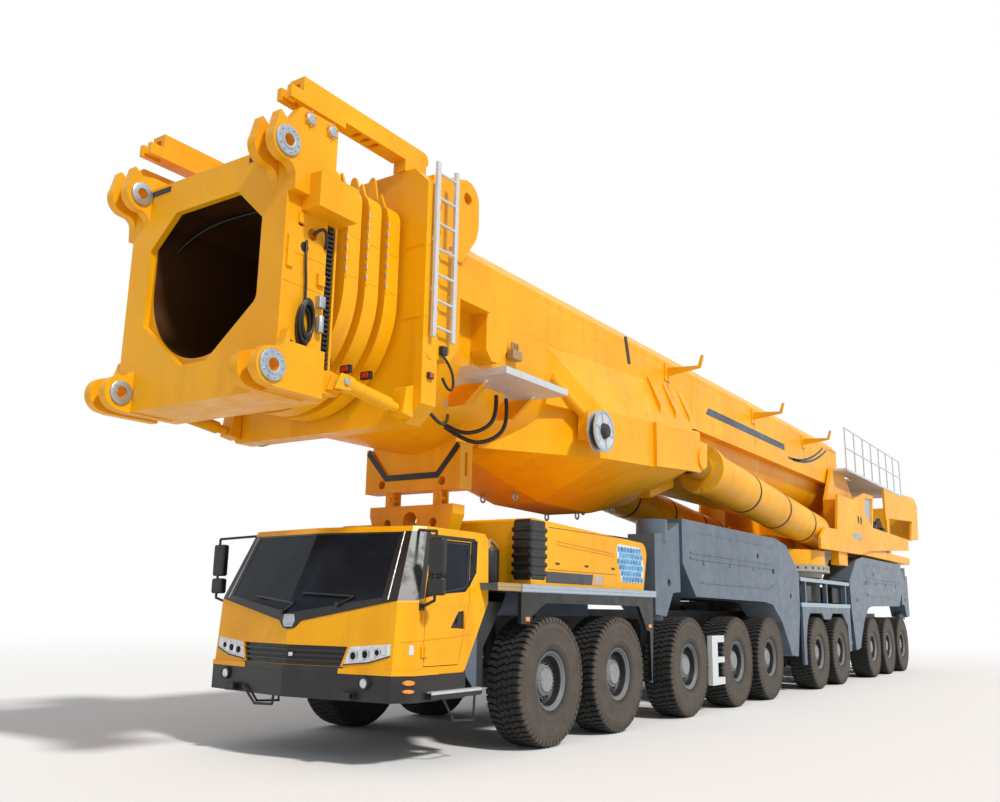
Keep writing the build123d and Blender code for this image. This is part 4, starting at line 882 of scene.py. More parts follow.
def headlamps():
    """Crystal cover over the pocket with three ringed lenses in the left corner, mirrored to the right."""
    cover = on_cab_front("lamp_cover", [(0.746, 0.988), (1.050, 1.020), (1.286, 1.090), (1.286, 1.205),
                                        (0.812, 1.166)], proud=0.004, sunk=0.010)
    facets = []
    for x, z, tall in ((0.925, 1.030, 0.115), (1.062, 1.050, 0.120), (1.196, 1.100, 0.080)):
        outline = [(x, z), (x + 0.050, z + 0.005), (x + 0.034, z + tall), (x - 0.014, z + tall)]
        facets.append(on_cab_front("lamp_facet", outline, proud=0.010, sunk=0.0))
    rims, glasses = [], []
    for x, z, radius in ((0.860, 1.078, 0.050), (1.000, 1.096, 0.050), (1.140, 1.118, 0.042)):
        y = cab_front(x, z)
        rims.append(bezel("headlamp_bezel", x, y + 0.004, z, radius, 0.034))
        glasses.append(lens("headlamp_glass", x, y - 0.006, z, radius - 0.010, 0.014))
    frame = on_cab_front("lamp_sill", [(0.740, 0.980), (1.052, 1.013), (1.290, 1.083), (1.288, 1.094),
                                       (1.049, 1.025), (0.746, 0.992)], proud=0.010, sunk=0.0)
    turn = on_cab_side("turn_lamp",
                       [(-2.335, 1.098), (-2.300, 1.104), (-2.296, 1.190), (-2.330, 1.200)], proud=0.006)
    for piece, finish in ((cover, LAMP_GLASS), (joined("lamp_facets", facets), ROD_CHROME),
                          (joined("headlamp_bezels", rims), ROD_CHROME),
                          (joined("headlamp_glasses", glasses), DARK_GLASS),
                          (turn, LAMP_GLASS), (frame, TRIM_BLACK)):
        both_sides(piece, "carrier", finish)


def bumper_trim():
    """Fog lamps, orange corner lamps and the treads of the steps."""
    fog = lens("fog_lamp", 1.030, -2.566, 0.820, 0.049, 0.012)
    ring = bezel("fog_bezel", 1.030, -2.560, 0.820, 0.066, 0.03)
    lamps = []
    for y, z, wide, tall in ((-2.352, 0.834, 0.050, 0.026), (-2.356, 0.752, 0.046, 0.019)):
        oval = [(y + wide * cos(pi * n / 6), z + tall * sin(pi * n / 6)) for n in range(12)]
        lamps.append(on_cab_side("corner_lamp", oval, proud=0.030, sunk=-0.010))
    corner = soften(joined("corner_lamps", lamps), 0.004, 2, 60)
    parts = [box_piece("tread_plate", (1.447, 1.532), (-2.095, -1.215), (0.722, 0.732))]
    rib = soften(box_piece("tread_rib", (1.455, 1.526), (-2.08, -2.068), (0.731, 0.737)), 0.002, 1)
    parts.append(repeated("tread_ribs", rib, shifted(*[(0, 0.0245 * n, 0) for n in range(36)])))
    parts.append(soften(box_piece("tread_edge", (1.524, 1.533), (-2.095, -1.215), (0.706, 0.732)),
                        0.003, 1))
    for piece, finish in ((fog, LAMP_GLASS), (ring, TRIM_BLACK), (corner, AMBER),
                          (joined("step_tread", parts), GALVANISED)):
        both_sides(piece, "carrier", finish)


def door_glass():
    """Black glazing that runs from the corner over the door to the cab's rear, and the door's handle.

    The fixed panes and the head strip stay on the cab, the rest swings with the door.
    """
    pane = on_cab_side("door_pane", [(-2.132, 1.668), (-1.876, 2.291), (-1.190, 2.291), (-1.336, 1.800),
                                     (-1.420, 1.742), (-1.920, 1.704)], proud=0.004)
    rubber = framed(on_cab_side, "door_pane_rubber", [(-2.085, 1.690), (-1.862, 2.272), (-1.235, 2.272),
                                                      (-1.372, 1.806), (-1.435, 1.775)], 0.016, proud=0.010)
    skirt = on_cab_side("door_skirt", [(-2.108, 1.590), (-2.098, 1.668), (-1.920, 1.704), (-1.425, 1.768),
                                       (-1.330, 1.802), (-1.318, 1.790), (-1.424, 1.636), (-1.440, 1.590)],
                        proud=0.003)
    fixed = on_cab_side("front_pane", [(-2.262, 1.645), (-2.156, 1.664), (-1.898, 2.318), (-1.905, 2.366),
                                       (-1.990, 2.366)], proud=0.004)
    head = on_cab_side("door_head_pane",
                       [(-1.905, 2.308), (-1.905, 2.340), (-1.085, 2.340), (-1.085, 2.308)], proud=0.004)
    handle = on_cab_side("handle_pocket", [(-1.698, 1.362), (-1.569, 1.528), (-1.462, 1.538),
                                           (-1.452, 1.352)], proud=-0.018, sunk=0.030)
    lever = on_cab_side("handle_lever", [(-1.600, 1.400), (-1.560, 1.500), (-1.535, 1.500),
                                         (-1.530, 1.400)], proud=0.004, sunk=-0.008)
    lever = soften(lever, 0.006, 2)
    quarter = on_cab_side("rear_quarter",
                          [(-1.168, 2.305), (-1.318, 1.812), (-1.160, 1.960), (-1.045, 2.320)], proud=0.004)
    door = "cab_door_{side}"
    for piece, body, finish in ((pane, door, DARK_GLASS), (rubber, door, TRIM_BLACK),
                                (skirt, door, CRANE_YELLOW), (fixed, "carrier", TRIM_BLACK),
                                (head, "carrier", TRIM_BLACK), (handle, door, TRIM_BLACK),
                                (lever, door, TRIM_BLACK), (quarter, "carrier", DARK_GLASS)):
        settle(other_side(piece, f"{piece.name}_right"), body.format(side="right"), finish)
        settle(piece, body.format(side="left"), finish)


def cab_back():
    """Rear fairing that carries the sides and the roof back, with the small rear window."""
    top = 2.418
    outline = [(-1.470, 0.905), (-1.250, 1.620), (-1.020, top), (-0.860, top), (-0.800, 2.350),
               (-0.990, 1.640), (-1.420, 0.905)]
    fairing = side_piece("cab_back", outline, (-1.0, 1.0))
    split(fairing, (0, 0, PANEL_KINK), (0, 0, 1))
    for vertex in fairing.data.vertices:
        vertex.co.x *= cab_size(min(vertex.co.z, top))[0] - 0.001
    settle(soften(fairing, 0.018, 3, 50), "carrier", CRANE_YELLOW)
    window = drawn_piece("cab_back_window", [(-0.75, -0.952, 1.78), (0.75, -0.952, 1.78),
                                             (0.70, -0.835, 2.22), (-0.70, -0.835, 2.22)], (0, 0.012, 0))
    settle(soften(window, 0.004, 1), "carrier", DARK_GLASS)


def mirror_glass():
    """Rear glasses of the four mirrors."""
    glasses = []
    for low, high in ((1.708, 1.852), (1.913, 2.252)):
        pane = box_piece("mirror_pane", (1.583, 1.737), (-2.1875, -2.1825), (low, high))
        glasses.append(soften(pane, 0.002, 1))
    both_sides(joined("mirror_glasses", glasses), "carrier", ROD_CHROME)


windscreen()
grille()
headlamps()
bumper_trim()
door_glass()
cab_back()
mirror_glass()


# ================================================================ hood and walkways
PATTERN_OUTLINE = [(2.100, 1.960), (2.770, 1.950), (2.815, 2.200), (2.745, 2.390),
                   (2.680, 2.460), (2.010, 2.475), (1.955, 2.400), (1.980, 2.270)]
TILE_R = 0.0475               # corner radius of the six-sided tiles
TILE_PITCH = 0.0545           # the same with the joint between two tiles
TILE_MARGIN = 0.028
HOOD_SIDE = 1.547


def inside(outline, y, z, margin):
    """Whether a place lies inside a convex outline, at least a margin from each edge."""
    for (y0, z0), (y1, z1) in zip(outline, outline[1:] + outline[:1]):
        if ((y1 - y0) * (z - z0) - (z1 - z0) * (y - y0)) / hypot(y1 - y0, z1 - z0) < margin:
            return False
    return True


def hood_trim():
    """Louvre column, lower band with its silver bars, tiled panel and latches on each side of the hood."""
    column = soften(box_piece("louvre_core", (1.290, 1.560), (-0.286, 0.066), (1.900, 2.640)), 0.040, 4)
    ridge = soften(box_piece("louvre_ridge", (1.278, 1.576), (-0.300, 0.078), (1.962, 2.022)), 0.022, 3)
    louvre = joined("louvre_column", [column, repeated("louvre_ridges", ridge,
                                                       shifted(*[(0, 0, 0.104 * n) for n in range(6)]))])
    band = side_piece("hood_band", [(0.070, 1.888), (1.235, 1.888), (1.275, 2.022), (0.070, 2.022)],
                      (HOOD_SIDE, HOOD_SIDE + 0.0085))
    bars = [side_piece("hood_bar", [(y, 1.888), (y + 0.055, 1.888), (y + 0.095, 2.022), (y + 0.040, 2.022)],
                       (HOOD_SIDE, HOOD_SIDE + 0.010)) for y in (1.275, 1.375, 1.475)]
    panel = side_piece("tiled_panel", PATTERN_OUTLINE, (HOOD_SIDE, HOOD_SIDE + 0.0075))
    corners = [(TILE_R * sin(pi * n / 3), TILE_R * cos(pi * n / 3)) for n in range(6)]
    tile = side_piece("tile", corners, (HOOD_SIDE + 0.003, HOOD_SIDE + 0.0115))
    spots = []
    for row in range(8):
        for place in range(10):
            y = 1.93 + TILE_PITCH * sqrt(3) * (place + 0.5 * (row % 2))
            z = 1.915 + TILE_PITCH * 1.5 * row
            if inside(PATTERN_OUTLINE, y, z, TILE_MARGIN):
                spots.append((0, y, z))
    tiles = repeated("blue_tiles", soften(tile, 0.002, 1), shifted(*spots))
    latches = [box_piece("hood_latch", (HOOD_SIDE, HOOD_SIDE + 0.011), (y, y + 0.09), (2.115, 2.140))
               for y in (0.30, 1.05, 1.80)]
    latches += [box_piece("hood_seam", (HOOD_SIDE, HOOD_SIDE + 0.0055), (0.13, rear), (low, high))
                for rear, low, high in ((2.62, 2.560, 2.566), (1.95, 2.045, 2.050))]
    for piece, finish in ((louvre, TRIM_BLACK), (soften(band, 0.003, 1), BAND_GREY),
                          (soften(joined("hood_bars", bars), 0.003, 1), PIN_STEEL), (panel, TILE_WHITE),
                          (tiles, TILE_BLUE), (joined("hood_latches", latches), TRIM_BLACK)):
        both_sides(piece, "carrier", finish)


def walkway_edges():
    """Ribbed profiles along the walkways' outer edges, their painted front ends and the skirts' lamps."""
    parts = []
    for y0, y1, low, high, outer in ((-0.640, 2.975, 1.762, 1.852, 1.670),
                                     (10.135, 14.075, 1.696, 1.784, 1.655),
                                     (10.135, 14.075, 2.226, 2.304, 1.655)):
        section = [(outer - 0.014, low), (outer, low), (outer + 0.005, low + 0.012),
                   (outer, low + 0.022), (outer, low + 0.040), (outer + 0.006, low + 0.052),
                   (outer, low + 0.062), (outer, high - 0.006), (outer - 0.008, high),
                   (outer - 0.062, high), (outer - 0.062, high - 0.006)]
        parts.append(front_piece("walkway_profile", section, (y0, y1)))
    edge = joined("walkway_edge", parts)
    section = [(1.600, 1.766), (1.654, 1.766), (1.660, 1.778), (1.654, 1.792), (1.654, 1.806),
               (1.661, 1.818), (1.654, 1.830), (1.654, 1.846), (1.646, 1.854), (1.600, 1.854)]
    beige = front_piece("walkway_end", section, (-1.118, -0.642))
    lamps = [box_piece("skirt_lamp", (1.646, 1.664), (y, y + 0.09), (z, z + 0.05))
             for y, z in ((-0.545, 1.430), (2.735, 1.330))]
    for piece, finish in ((smooth(edge, 25), WALK_ALLOY), (smooth(beige, 25), WALK_END),
                          (soften(joined("skirt_lamps", lamps), 0.008, 2), AMBER)):
        both_sides(piece, "carrier", finish)


def between_cab_and_hood():
    """Air intake, tanks and hoses on the deck behind the cab, and black boxes under the mid decks as
    painted shade there.
    """
    boxes = [soften(box_piece("intake_box", (0.30, 0.98), (-0.86, -0.36), (1.88, 2.42)), 0.05, 3),
             soften(box_piece("oil_tank", (-0.95, 0.10), (-0.80, -0.36), (1.88, 2.24)), 0.04, 3),
             rounded("filter_can", (1.17, -0.62, 2.06), 0.13, 0.40, "z", 28, 0.02)]
    settle(joined("deck_tanks", boxes), "carrier", TRIM_BLACK)
    pipes = []
    for x in (1.02, 1.10):
        route = [(x, -0.34, 2.30), (x, -0.50, 2.40), (x + 0.10, -0.66, 2.30), (x + 0.10, -0.66, 2.02)]
        pipes.append(hose("deck_hose", route, 0.024))
    pipes.append(hose("deck_hose", [(-0.98, -0.34, 2.0), (-1.14, -0.50, 2.14),
                                    (-1.24, -0.70, 2.05), (-1.22, -0.82, 1.9)], 0.030))
    settle(joined("deck_hoses", pipes), "carrier", WALK_END)
    # painted shade: black boxes fill the shadowed space under the mid decks
    cases = [soften(box_piece("deck_shade_box", (1.02, 1.54), (y, y + 0.82), (1.80, 2.17)), 0.02, 2)
             for y in (10.46, 12.98)]
    both_sides(joined("deck_shade_boxes", cases), "carrier", TRIM_BLACK)


hood_trim()
walkway_edges()
between_cab_and_hood()


# ================================================================ boom
LUG_Y, LUG_Z = -4.280, (3.680, 5.880)       # bores of the head's forks
EAR_Y, EAR_Z = (-4.020, -3.720), 6.220      # pins in the ears above them
COLLAR_FRONTS = (-2.700, -3.010, -3.320)
COLLAR_HORNS = ((0.960, 6.250), (0.980, 6.120), (1.040, 5.930))    # their tips, as (x, z)
HEAD_SIDE = 1.195             # faces that carry trim, as half widths
FLANK_SIDE = 1.2195
FLANGE_SIDE = 1.520
TOWER_SIDE = 1.7495
LOCK_X = 1.330                # line of the locking cylinders
REEL_AT = (1.300, 3.950)      # hose reel's axle, as (y, z)
CYLINDER_X = 1.280
BARREL_BASE = (13.000, 3.400)
BARREL_EYE = (5.100, 4.100)
GLAND_Y = 5.620               # front face of the barrels
RING_AT = 12.100              # slewing axis
OUTRIGGER_MIDDLE = 12.110     # the rear pair mirrors the front pair about this plane


def bolt(name, place, radius, tall):
    """Hexagon head with a chamfered top, pointing along +X."""
    return inset(round_piece(name, place, radius, tall, "x", 6), (1, 0, 0), (radius * 0.2, radius * 0.2))


def round_a_bore(count, y, z, start=0.0):
    """Turns about an X axis through a place."""
    there, back = Matrix.Translation((0, y, z)), Matrix.Translation((0, -y, -z))
    return [there @ move @ back for move in round_the_axle(count, start)]


def head_bushes():
    """Steel bushes with rings of bolts on the forks' outer faces, and capped pins in the two ears."""
    bushes, bolts = [], []
    for z in LUG_Z:
        ring = turned_piece("lug_bush", [(1.300, 0.0605), (1.331, 0.0605), (1.334, 0.066), (1.334, 0.088),
                                         (1.326, 0.092), (1.326, 0.146), (1.320, 0.152), (1.300, 0.153)],
                            (0, LUG_Y, z), 48)
        inner = turned_piece("lug_bush", [(0.940, 0.0605), (0.940, 0.128), (0.920, 0.126), (0.916, 0.120),
                                          (0.916, 0.0605)], (0, LUG_Y, z), 40)
        bushes += [smooth(ring, 40), smooth(inner, 40)]
        stud = bolt("bush_bolt", (1.328, LUG_Y, z + 0.119), 0.010, 0.012)
        bolts.append(repeated("bush_bolts", stud, round_a_bore(10, LUG_Y, z, 0.2)))
    for y in EAR_Y:
        cap = turned_piece("ear_cap", [(1.318, 0.0), (1.338, 0.0), (1.338, 0.040),
                                       (1.332, 0.052), (1.318, 0.056)], (0, y, EAR_Z), 32)
        bushes.append(smooth(cap, 40))
        stud = bolt("cap_bolt", (1.326, y, EAR_Z + 0.076), 0.009, 0.012)
        bolts.append(repeated("cap_bolts", stud, round_a_bore(6, y, EAR_Z)))
    both_sides(joined("lug_bushes", bushes), "boom_head", PIN_STEEL)
    both_sides(joined("bush_bolts", bolts), "boom_head", PIN_STEEL)


def head_side():
    """Toothed strip in its slot, hanging cable, sensor cases, hoses and seams on the side of the head."""
    teeth = [box_piece("rack_back", (1.142, 1.170), (-3.588, -3.482), (3.755, 5.295))]
    tooth = box_piece("rack_tooth", (1.165, 1.205), (-3.580, -3.490), (3.770, 3.795))
    teeth.append(repeated("rack_teeth", soften(tooth, 0.004, 1),
                          shifted(*[(0, 0, 0.0485 * n) for n in range(31)])))
    both_sides(joined("head_rack", teeth), "boom_head", TRIM_BLACK)
    coil = [wire_ring((1.216 + 0.022 * n, -3.855, 4.170 + 0.02 * n),
                      0.082 - 0.010 * (n % 2), 0.014, 36, 2.4) for n in range(4)]
    coil.append(hose("coil_feed", [(1.21, -3.87, 5.03), (1.24, -3.90, 4.80),
                                   (1.22, -3.85, 4.60), (1.23, -3.86, 4.34)], 0.013))
    coil.append(hose("side_hose", [(1.19, -3.77, 5.12), (1.27, -3.74, 5.20),
                                   (1.27, -3.65, 5.16), (1.21, -3.61, 5.02)], 0.017))
    coil.append(hose("coil_tail", [(1.23, -3.84, 4.00), (1.23, -3.80, 3.90),
                                   (1.24, -3.70, 3.86), (1.22, -3.62, 3.94)], 0.013))
    settle(joined("head_cables", coil), "boom_head", TRIM_BLACK)
    case = box_piece("sensor_case", (HEAD_SIDE, 1.262), (-3.700, -3.618), (4.395, 4.515))
    inset(case, (1, 0, 0), (0.012, 0.005))
    can = rounded("sensor_can", (1.236, -3.655, 4.230), 0.038, 0.17, "z", 20, 0.006)
    both_sides(joined("sensor_cases", [soften(case, 0.006, 2), can]), "boom_head", PIN_STEEL)
    plates = [box_piece("side_pad", (HEAD_SIDE, HEAD_SIDE + proud), y, z)
              for proud, y, z in ((0.040, (-3.705, -3.612), (4.625, 4.745)),
                                  (0.030, (-4.110, -4.030), (4.700, 5.020)),
                                  (0.030, (-3.990, -3.880), (5.180, 5.290)))]
    plates += [box_piece("head_seam", (HEAD_SIDE + 0.001, HEAD_SIDE + 0.010), (-4.146, -3.610),
                         (z - 0.006, z + 0.006)) for z in (4.87, 4.56)]
    both_sides(soften(joined("head_plates", plates), 0.004, 1), "boom_head", CRANE_YELLOW)
    # painted shade: a black strip and discs stand for the head's openings
    dark = [box_piece("head_shade_strip", (0.62, 1.10), (-4.156, -4.146), (5.885, 5.945))]
    for y, z, radius in ((-3.985, 3.965, 0.040), (-3.885, 4.960, 0.052)):
        dark.append(rounded("side_hole_shade", (HEAD_SIDE + 0.002, y, z), radius, 0.012, "x", 24, 0.002, 1))
    both_sides(joined("head_openings_shade", dark), "boom_head", CHASSIS_BLACK)
    loop = hose("mouth_cable", [(-0.98, -3.98, 4.70), (-0.94, -3.90, 5.15), (-0.80, -3.75, 5.50),
                                (-0.40, -3.60, 5.72), (0.10, -3.46, 5.76)], 0.018)
    settle(loop, "boom_head", TRIM_BLACK)


def locking_cylinders():
    """Cylinder that pins the head to the flange at each lower corner, with its bracket and its catch."""
    rods = []
    for name, start, end, radius, sides in (("lock_barrel", (-3.330, 3.690), (-2.720, 3.610), 0.074, 28),
                                            ("lock_nose", (-2.760, 3.615), (-2.600, 3.594), 0.052, 24),
                                            ("lock_collar", (-3.390, 3.698), (-3.300, 3.686), 0.090, 28)):
        rods.append(smooth(bar_between(name, (LOCK_X, *start), (LOCK_X, *end), radius, sides), 40))
    bracket = side_piece("lock_bracket", [(-3.930, 3.540), (-3.400, 3.560), (-3.340, 3.620),
                                          (-3.340, 3.760), (-3.480, 3.800), (-3.930, 3.740)],
                         (HEAD_SIDE, 1.262))
    ears = [side_piece("lock_ear", [(-3.560, 3.600), (-3.340, 3.610), (-3.340, 3.760), (-3.480, 3.770)],
                       (x, x + 0.030)) for x in (1.262, 1.372)]
    plates = soften(joined("lock_plates", [bracket] + ears), 0.006, 1)
    both_sides(joined("lock_cylinder", rods + [plates]), "boom_head", CRANE_YELLOW)
    pin = rounded("lock_pin", (LOCK_X, -3.420, 3.690), 0.036, 0.190, "x", 24, 0.006)
    both_sides(pin, "boom_head", PIN_STEEL)
    catch = side_piece("lock_catch", [(-2.590, 3.530), (-2.424, 3.500), (-2.424, 3.860), (-2.540, 3.820)],
                       (1.240, 1.430))
    both_sides(soften(catch, 0.012, 2), "boom", CRANE_YELLOW)


def collar_trim():
    """Tall horn, weld seams, white marks and a lamp on each telescoping section's collar."""
    for n, (front, (tip_x, tip_z)) in enumerate(zip(COLLAR_FRONTS, COLLAR_HORNS)):
        section = f"boom_section_{n + 1}"
        outline = [(tip_x - 0.150, 5.760), (tip_x - 0.085, tip_z - 0.030), (tip_x - 0.060, tip_z),
                   (tip_x - 0.020, tip_z), (tip_x + 0.010, tip_z - 0.040), (tip_x + 0.090, 5.760)]
        parts = [front_piece("collar_horn", outline, (front + 0.020, front + 0.046))]
        parts += [box_piece("collar_seam", (1.196, 1.2045), (front + 0.03, front + 0.20),
                            (z - 0.005, z + 0.005)) for z in (5.30, 4.87)]
        parts.append(box_piece("collar_rim", (1.196, 1.214), (front + 0.004, front + 0.030), (4.83, 5.72)))
        both_sides(soften(joined(f"collar_trim_{n + 1}", parts), 0.004, 1), section, CRANE_YELLOW)
        marks = []
        for low in [4.90 + 0.115 * k for k in range(7)]:
            marks.append(box_piece("collar_mark", (1.190, 1.2155),
                                   (front - 0.003, front + 0.008), (low, low + 0.05)))
        both_sides(joined(f"collar_marks_{n + 1}", marks), section, GALVANISED)
        housing = box_piece(f"lamp_housing_{n + 1}", (0.930, 1.075),
                            (front - 0.030, front + 0.015), (3.910, 3.998))
        both_sides(soften(housing, 0.008, 2), section, TRIM_BLACK)
        lamp = box_piece(f"collar_lamp_{n + 1}", (0.955, 1.050),
                         (front - 0.040, front - 0.026), (3.925, 3.983))
        both_sides(soften(lamp, 0.006, 2), section, RED_GLASS)


def flange_trim():
    """Seams and plugs of the base section's flange, with a socket, cables and a lamp on its side."""
    seams = []
    for x, y in (((1.5195, 1.5250), (-2.410, -2.180)), ((1.240, 1.500), (-2.4255, -2.418))):
        seams += [box_piece("flange_seam", x, y, (z - 0.005, z + 0.005)) for z in (4.62, 5.44)]
    for z in (5.10, 4.20):
        seams.append(soften(round_piece("flange_plug", (FLANGE_SIDE + 0.002, -2.295, z),
                                        0.042, 0.016, "x", 24), 0.004, 2))
    both_sides(joined("flange_seams", seams), "boom", CRANE_YELLOW)
    fittings = [soften(box_piece("flange_socket", x, y, z), 0.008, 2)
                for x, y, z in (((1.500, 1.560), (-2.120, -2.030), (4.250, 4.350)),
                                ((1.520, 1.556), (-2.340, -2.250), (3.940, 4.010)))]
    fittings += [hose("flange_loop", [(1.53, -2.10, 4.26), (1.60, -2.00, 4.12), (1.58, -1.93, 3.90),
                                      (1.56, -2.02, 3.86), (1.53, -2.08, 4.00)], 0.016),
                 hose("flange_hose", [(1.44, -2.18, 3.62), (1.46, -2.02, 3.50), (1.40, -1.80, 3.56),
                                      (1.25, -1.60, 3.70)], 0.020)]
    both_sides(joined("flange_fittings", fittings), "boom", TRIM_BLACK)
    lamp = soften(box_piece("flange_lamp", (1.535, 1.562), (-2.325, -2.265), (3.950, 4.000)), 0.006, 2)
    both_sides(lamp, "boom", RED_GLASS)


def flank_stripes():
    """Blue-black band, two curved lines, plate seams and a strap on both flanks of the base section."""
    painted_on = (FLANK_SIDE, FLANK_SIDE + 0.004)
    band = side_piece("flank_band", [(6.25, 5.13), (10.9, 5.13), (10.9, 5.27), (6.40, 5.27)], painted_on)
    both_sides(band, "boom", BAND_BLUE)
    lines = []
    for start, low, high in ((11.15, 4.98, 5.62), (11.45, 4.98, 5.60)):
        points = []
        for n in range(11):
            t = n / 10
            points.append((start + 2.9 * t, low + (high - low) * t * t))
        outline = points + [(y, z + 0.055) for y, z in reversed(points)]
        lines.append(side_piece("flank_line", outline, painted_on))
    both_sides(joined("flank_lines", lines), "boom", TRIM_BLACK)
    seams = [box_piece("flank_seam", (1.216, 1.2225), (y0, y1), (z - 0.006, z + 0.006))
             for y0, y1, z in ((0.76, 14.9, 5.50), (-0.33, 5.10, 5.10), (0.2, 14.9, 5.675))]
    for y, low, high in ((0.64, 5.15, 5.72), (0.80, 4.83, 5.13), (5.6, 4.80, 5.70), (11.05, 4.80, 5.70)):
        seams.append(box_piece("flank_seam", (1.216, 1.2225), (y - 0.006, y + 0.006), (low, high)))
    both_sides(soften(joined("flank_seams", seams), 0.002, 1), "boom", CRANE_YELLOW)
    strap = side_piece("flank_strap", [(2.93, 5.78), (3.02, 5.80), (3.15, 5.38), (3.06, 5.36)],
                       (1.219, 1.232))
    both_sides(soften(strap, 0.003, 1), "boom", TRIM_BLACK)


def keel_rings():
    """Lifting eyes under the deep belly."""
    eyes = [wire_ring((0.28, y, z - 0.028), 0.052, 0.015, 28)
            for y, z in ((1.30, 3.155), (3.10, 3.045), (4.30, 3.245))]
    both_sides(joined("keel_eyes", eyes), "boom", PIN_STEEL)


def hoses_and_valves():
    """Hoses that hang from the platform to the belly, and the valve block above it."""
    lines = [hose("belly_hose", [(1.24, -0.62, 4.12), (1.30, -0.68, 3.84), (1.22, -0.86, 3.64),
                                 (0.95, -1.02, 3.60), (0.66, -1.08, 3.82)], 0.026),
             hose("belly_hose", [(1.24, -0.40, 4.12), (1.32, -0.46, 3.80), (1.26, -0.66, 3.56),
                                 (0.98, -0.86, 3.50), (0.62, -0.98, 3.80)], 0.026)]
    settle(joined("boom_hoses", lines), "boom", TRIM_BLACK)
    block = [soften(box_piece("valve_block", (1.240, 1.340), (-0.40, -0.18), (4.64, 4.76)), 0.010, 2)]
    block += [smooth(round_piece("valve_stem", (1.292, y, 4.80), 0.018, 0.12, "z", 14), 40)
              for y in (-0.35, -0.29, -0.23)]
    settle(joined("valve_bundle", block), "boom", WALK_END)


def hose_reel():
    """Outer disc with its ribs, the hub, and the hose wound between the discs."""
    rim = turned_piece("reel_disc", [(1.719, 0.240), (1.719, 0.292), (1.727, 0.288), (1.727, 0.246)],
                       (0, *REEL_AT), 56)
    front = [smooth(rim, 35)]
    rib = box_piece("reel_rib", (1.718, 1.7265), (REEL_AT[0] - 0.012, REEL_AT[0] + 0.012),
                    (REEL_AT[1] + 0.07, REEL_AT[1] + 0.26))
    front.append(repeated("reel_ribs", rib, round_a_bore(6, *REEL_AT, 0.3)))
    settle(joined("reel_front_disc", front), "boom", WALK_ALLOY)
    hub = turned_piece("reel_hub", [(1.715, 0.0), (1.782, 0.0), (1.786, 0.030), (1.776, 0.085),
                                    (1.762, 0.094), (1.740, 0.104), (1.715, 0.116)], (0, *REEL_AT), 40)
    wound = turned_piece("reel_hose", [(1.6215, 0.148), (1.6215, 0.232), (1.634, 0.240),
                                       (1.647, 0.232), (1.660, 0.240), (1.673, 0.232), (1.686, 0.240),
                                       (1.6985, 0.232), (1.6985, 0.148)], (0, *REEL_AT), 48)
    settle(joined("reel_hub_and_hose", [smooth(hub, 35), smooth(wound, 50)]), "boom", CHASSIS_BLACK)


def rest_pads():
    """Rubber pads on the boom rest's upper edge."""
    pads = []
    for s in (-1, 1):
        pads.append(front_piece("rest_pad", [(0, 3.150), (s * 0.430, 3.150), (s * 0.765, 3.520),
                                             (s * 0.722, 3.581), (s * 0.402, 3.226), (0, 3.226)],
                                (-0.700, -0.432)))
    settle(joined("rest_pads", pads), "carrier", TRIM_BLACK)


def cylinder_bands():
    """Dark clamp bands round the luffing cylinders and the studs in their front faces."""
    start, end = Vector((CYLINDER_X, *BARREL_BASE)), Vector((CYLINDER_X, *BARREL_EYE))
    along = (end - start).normalized()
    turn = along.to_track_quat("X", "Y").to_matrix().to_4x4()
    rings = []
    for y in (7.83, 9.67, 11.43, 12.56):
        t = (y - start.y) / along.y
        ring = turned_piece("barrel_band", [(-0.035, 0.397), (-0.035, 0.4065),
                                            (0.035, 0.4065), (0.035, 0.397)], (0, 0, 0), 56)
        rings.append(repeated("barrel_band", ring, [Matrix.Translation(start + along * t) @ turn]))
    both_sides(smooth(joined("barrel_bands", rings), 40), "luffing_barrels", CHASSIS_BLACK)
    stud = round_piece("gland_stud", (0, 0, 0.405), 0.018, 0.030, "x", 6)
    face = Matrix.Translation(start + along * (GLAND_Y - start.y) / along.y) @ turn
    both_sides(repeated("gland_studs", stud, [face @ move for move in round_the_axle(24)]),
               "luffing_barrels", PIN_STEEL)


def slewing_trim():
    """Bolt heads on the slewing ring's top, and black discs round its rim as painted shade in the bolt
    holes.
    """
    count = 48
    there, back = Matrix.Translation((0, RING_AT, 0)), Matrix.Translation((0, -RING_AT, 0))
    turns = [there @ Matrix.Rotation(2 * pi * n / count, 4, "Z") @ back for n in range(count)]
    stud = round_piece("ring_bolt", (0, RING_AT + 1.590, 2.628), 0.026, 0.022, "z", 6)
    settle(repeated("ring_bolts", stud, turns), "carrier", PIN_STEEL)
    # painted shade: black discs for the bolt holes
    hole = round_piece("ring_hole_shade", (0, RING_AT + 1.680, 2.550), 0.030, 0.008, "y", 12)
    settle(repeated("ring_hole_shades", hole, turns), "carrier", CHASSIS_BLACK)


def tower_trim():
    """Panel in the window, two dark ovals and a blank plate on each side of the superstructure."""
    panel = box_piece("window_panel", (1.700, 1.716), (15.66, 16.64), (3.86, 4.57))
    inset(panel, (1, 0, 0), (0.05, -0.006))
    both_sides(soften(panel, 0.004, 1), "superstructure", WALK_ALLOY)
    ovals = []
    for y in (15.02, 15.29):
        outline = [(y + 0.075 * cos(pi * n / 8), 3.905 + 0.105 * sin(pi * n / 8)) for n in range(16)]
        ovals.append(side_piece("tower_oval", outline, (TOWER_SIDE, TOWER_SIDE + 0.005)))
    both_sides(joined("tower_ovals", ovals), "superstructure", CHASSIS_BLACK)
    blank = soften(side_piece("tower_plate", [(14.41, 3.40), (15.21, 3.40), (15.21, 3.54), (14.41, 3.54)],
                              (TOWER_SIDE, TOWER_SIDE + 0.0085)), 0.004, 1)
    both_sides(blank, "superstructure", PIN_STEEL)


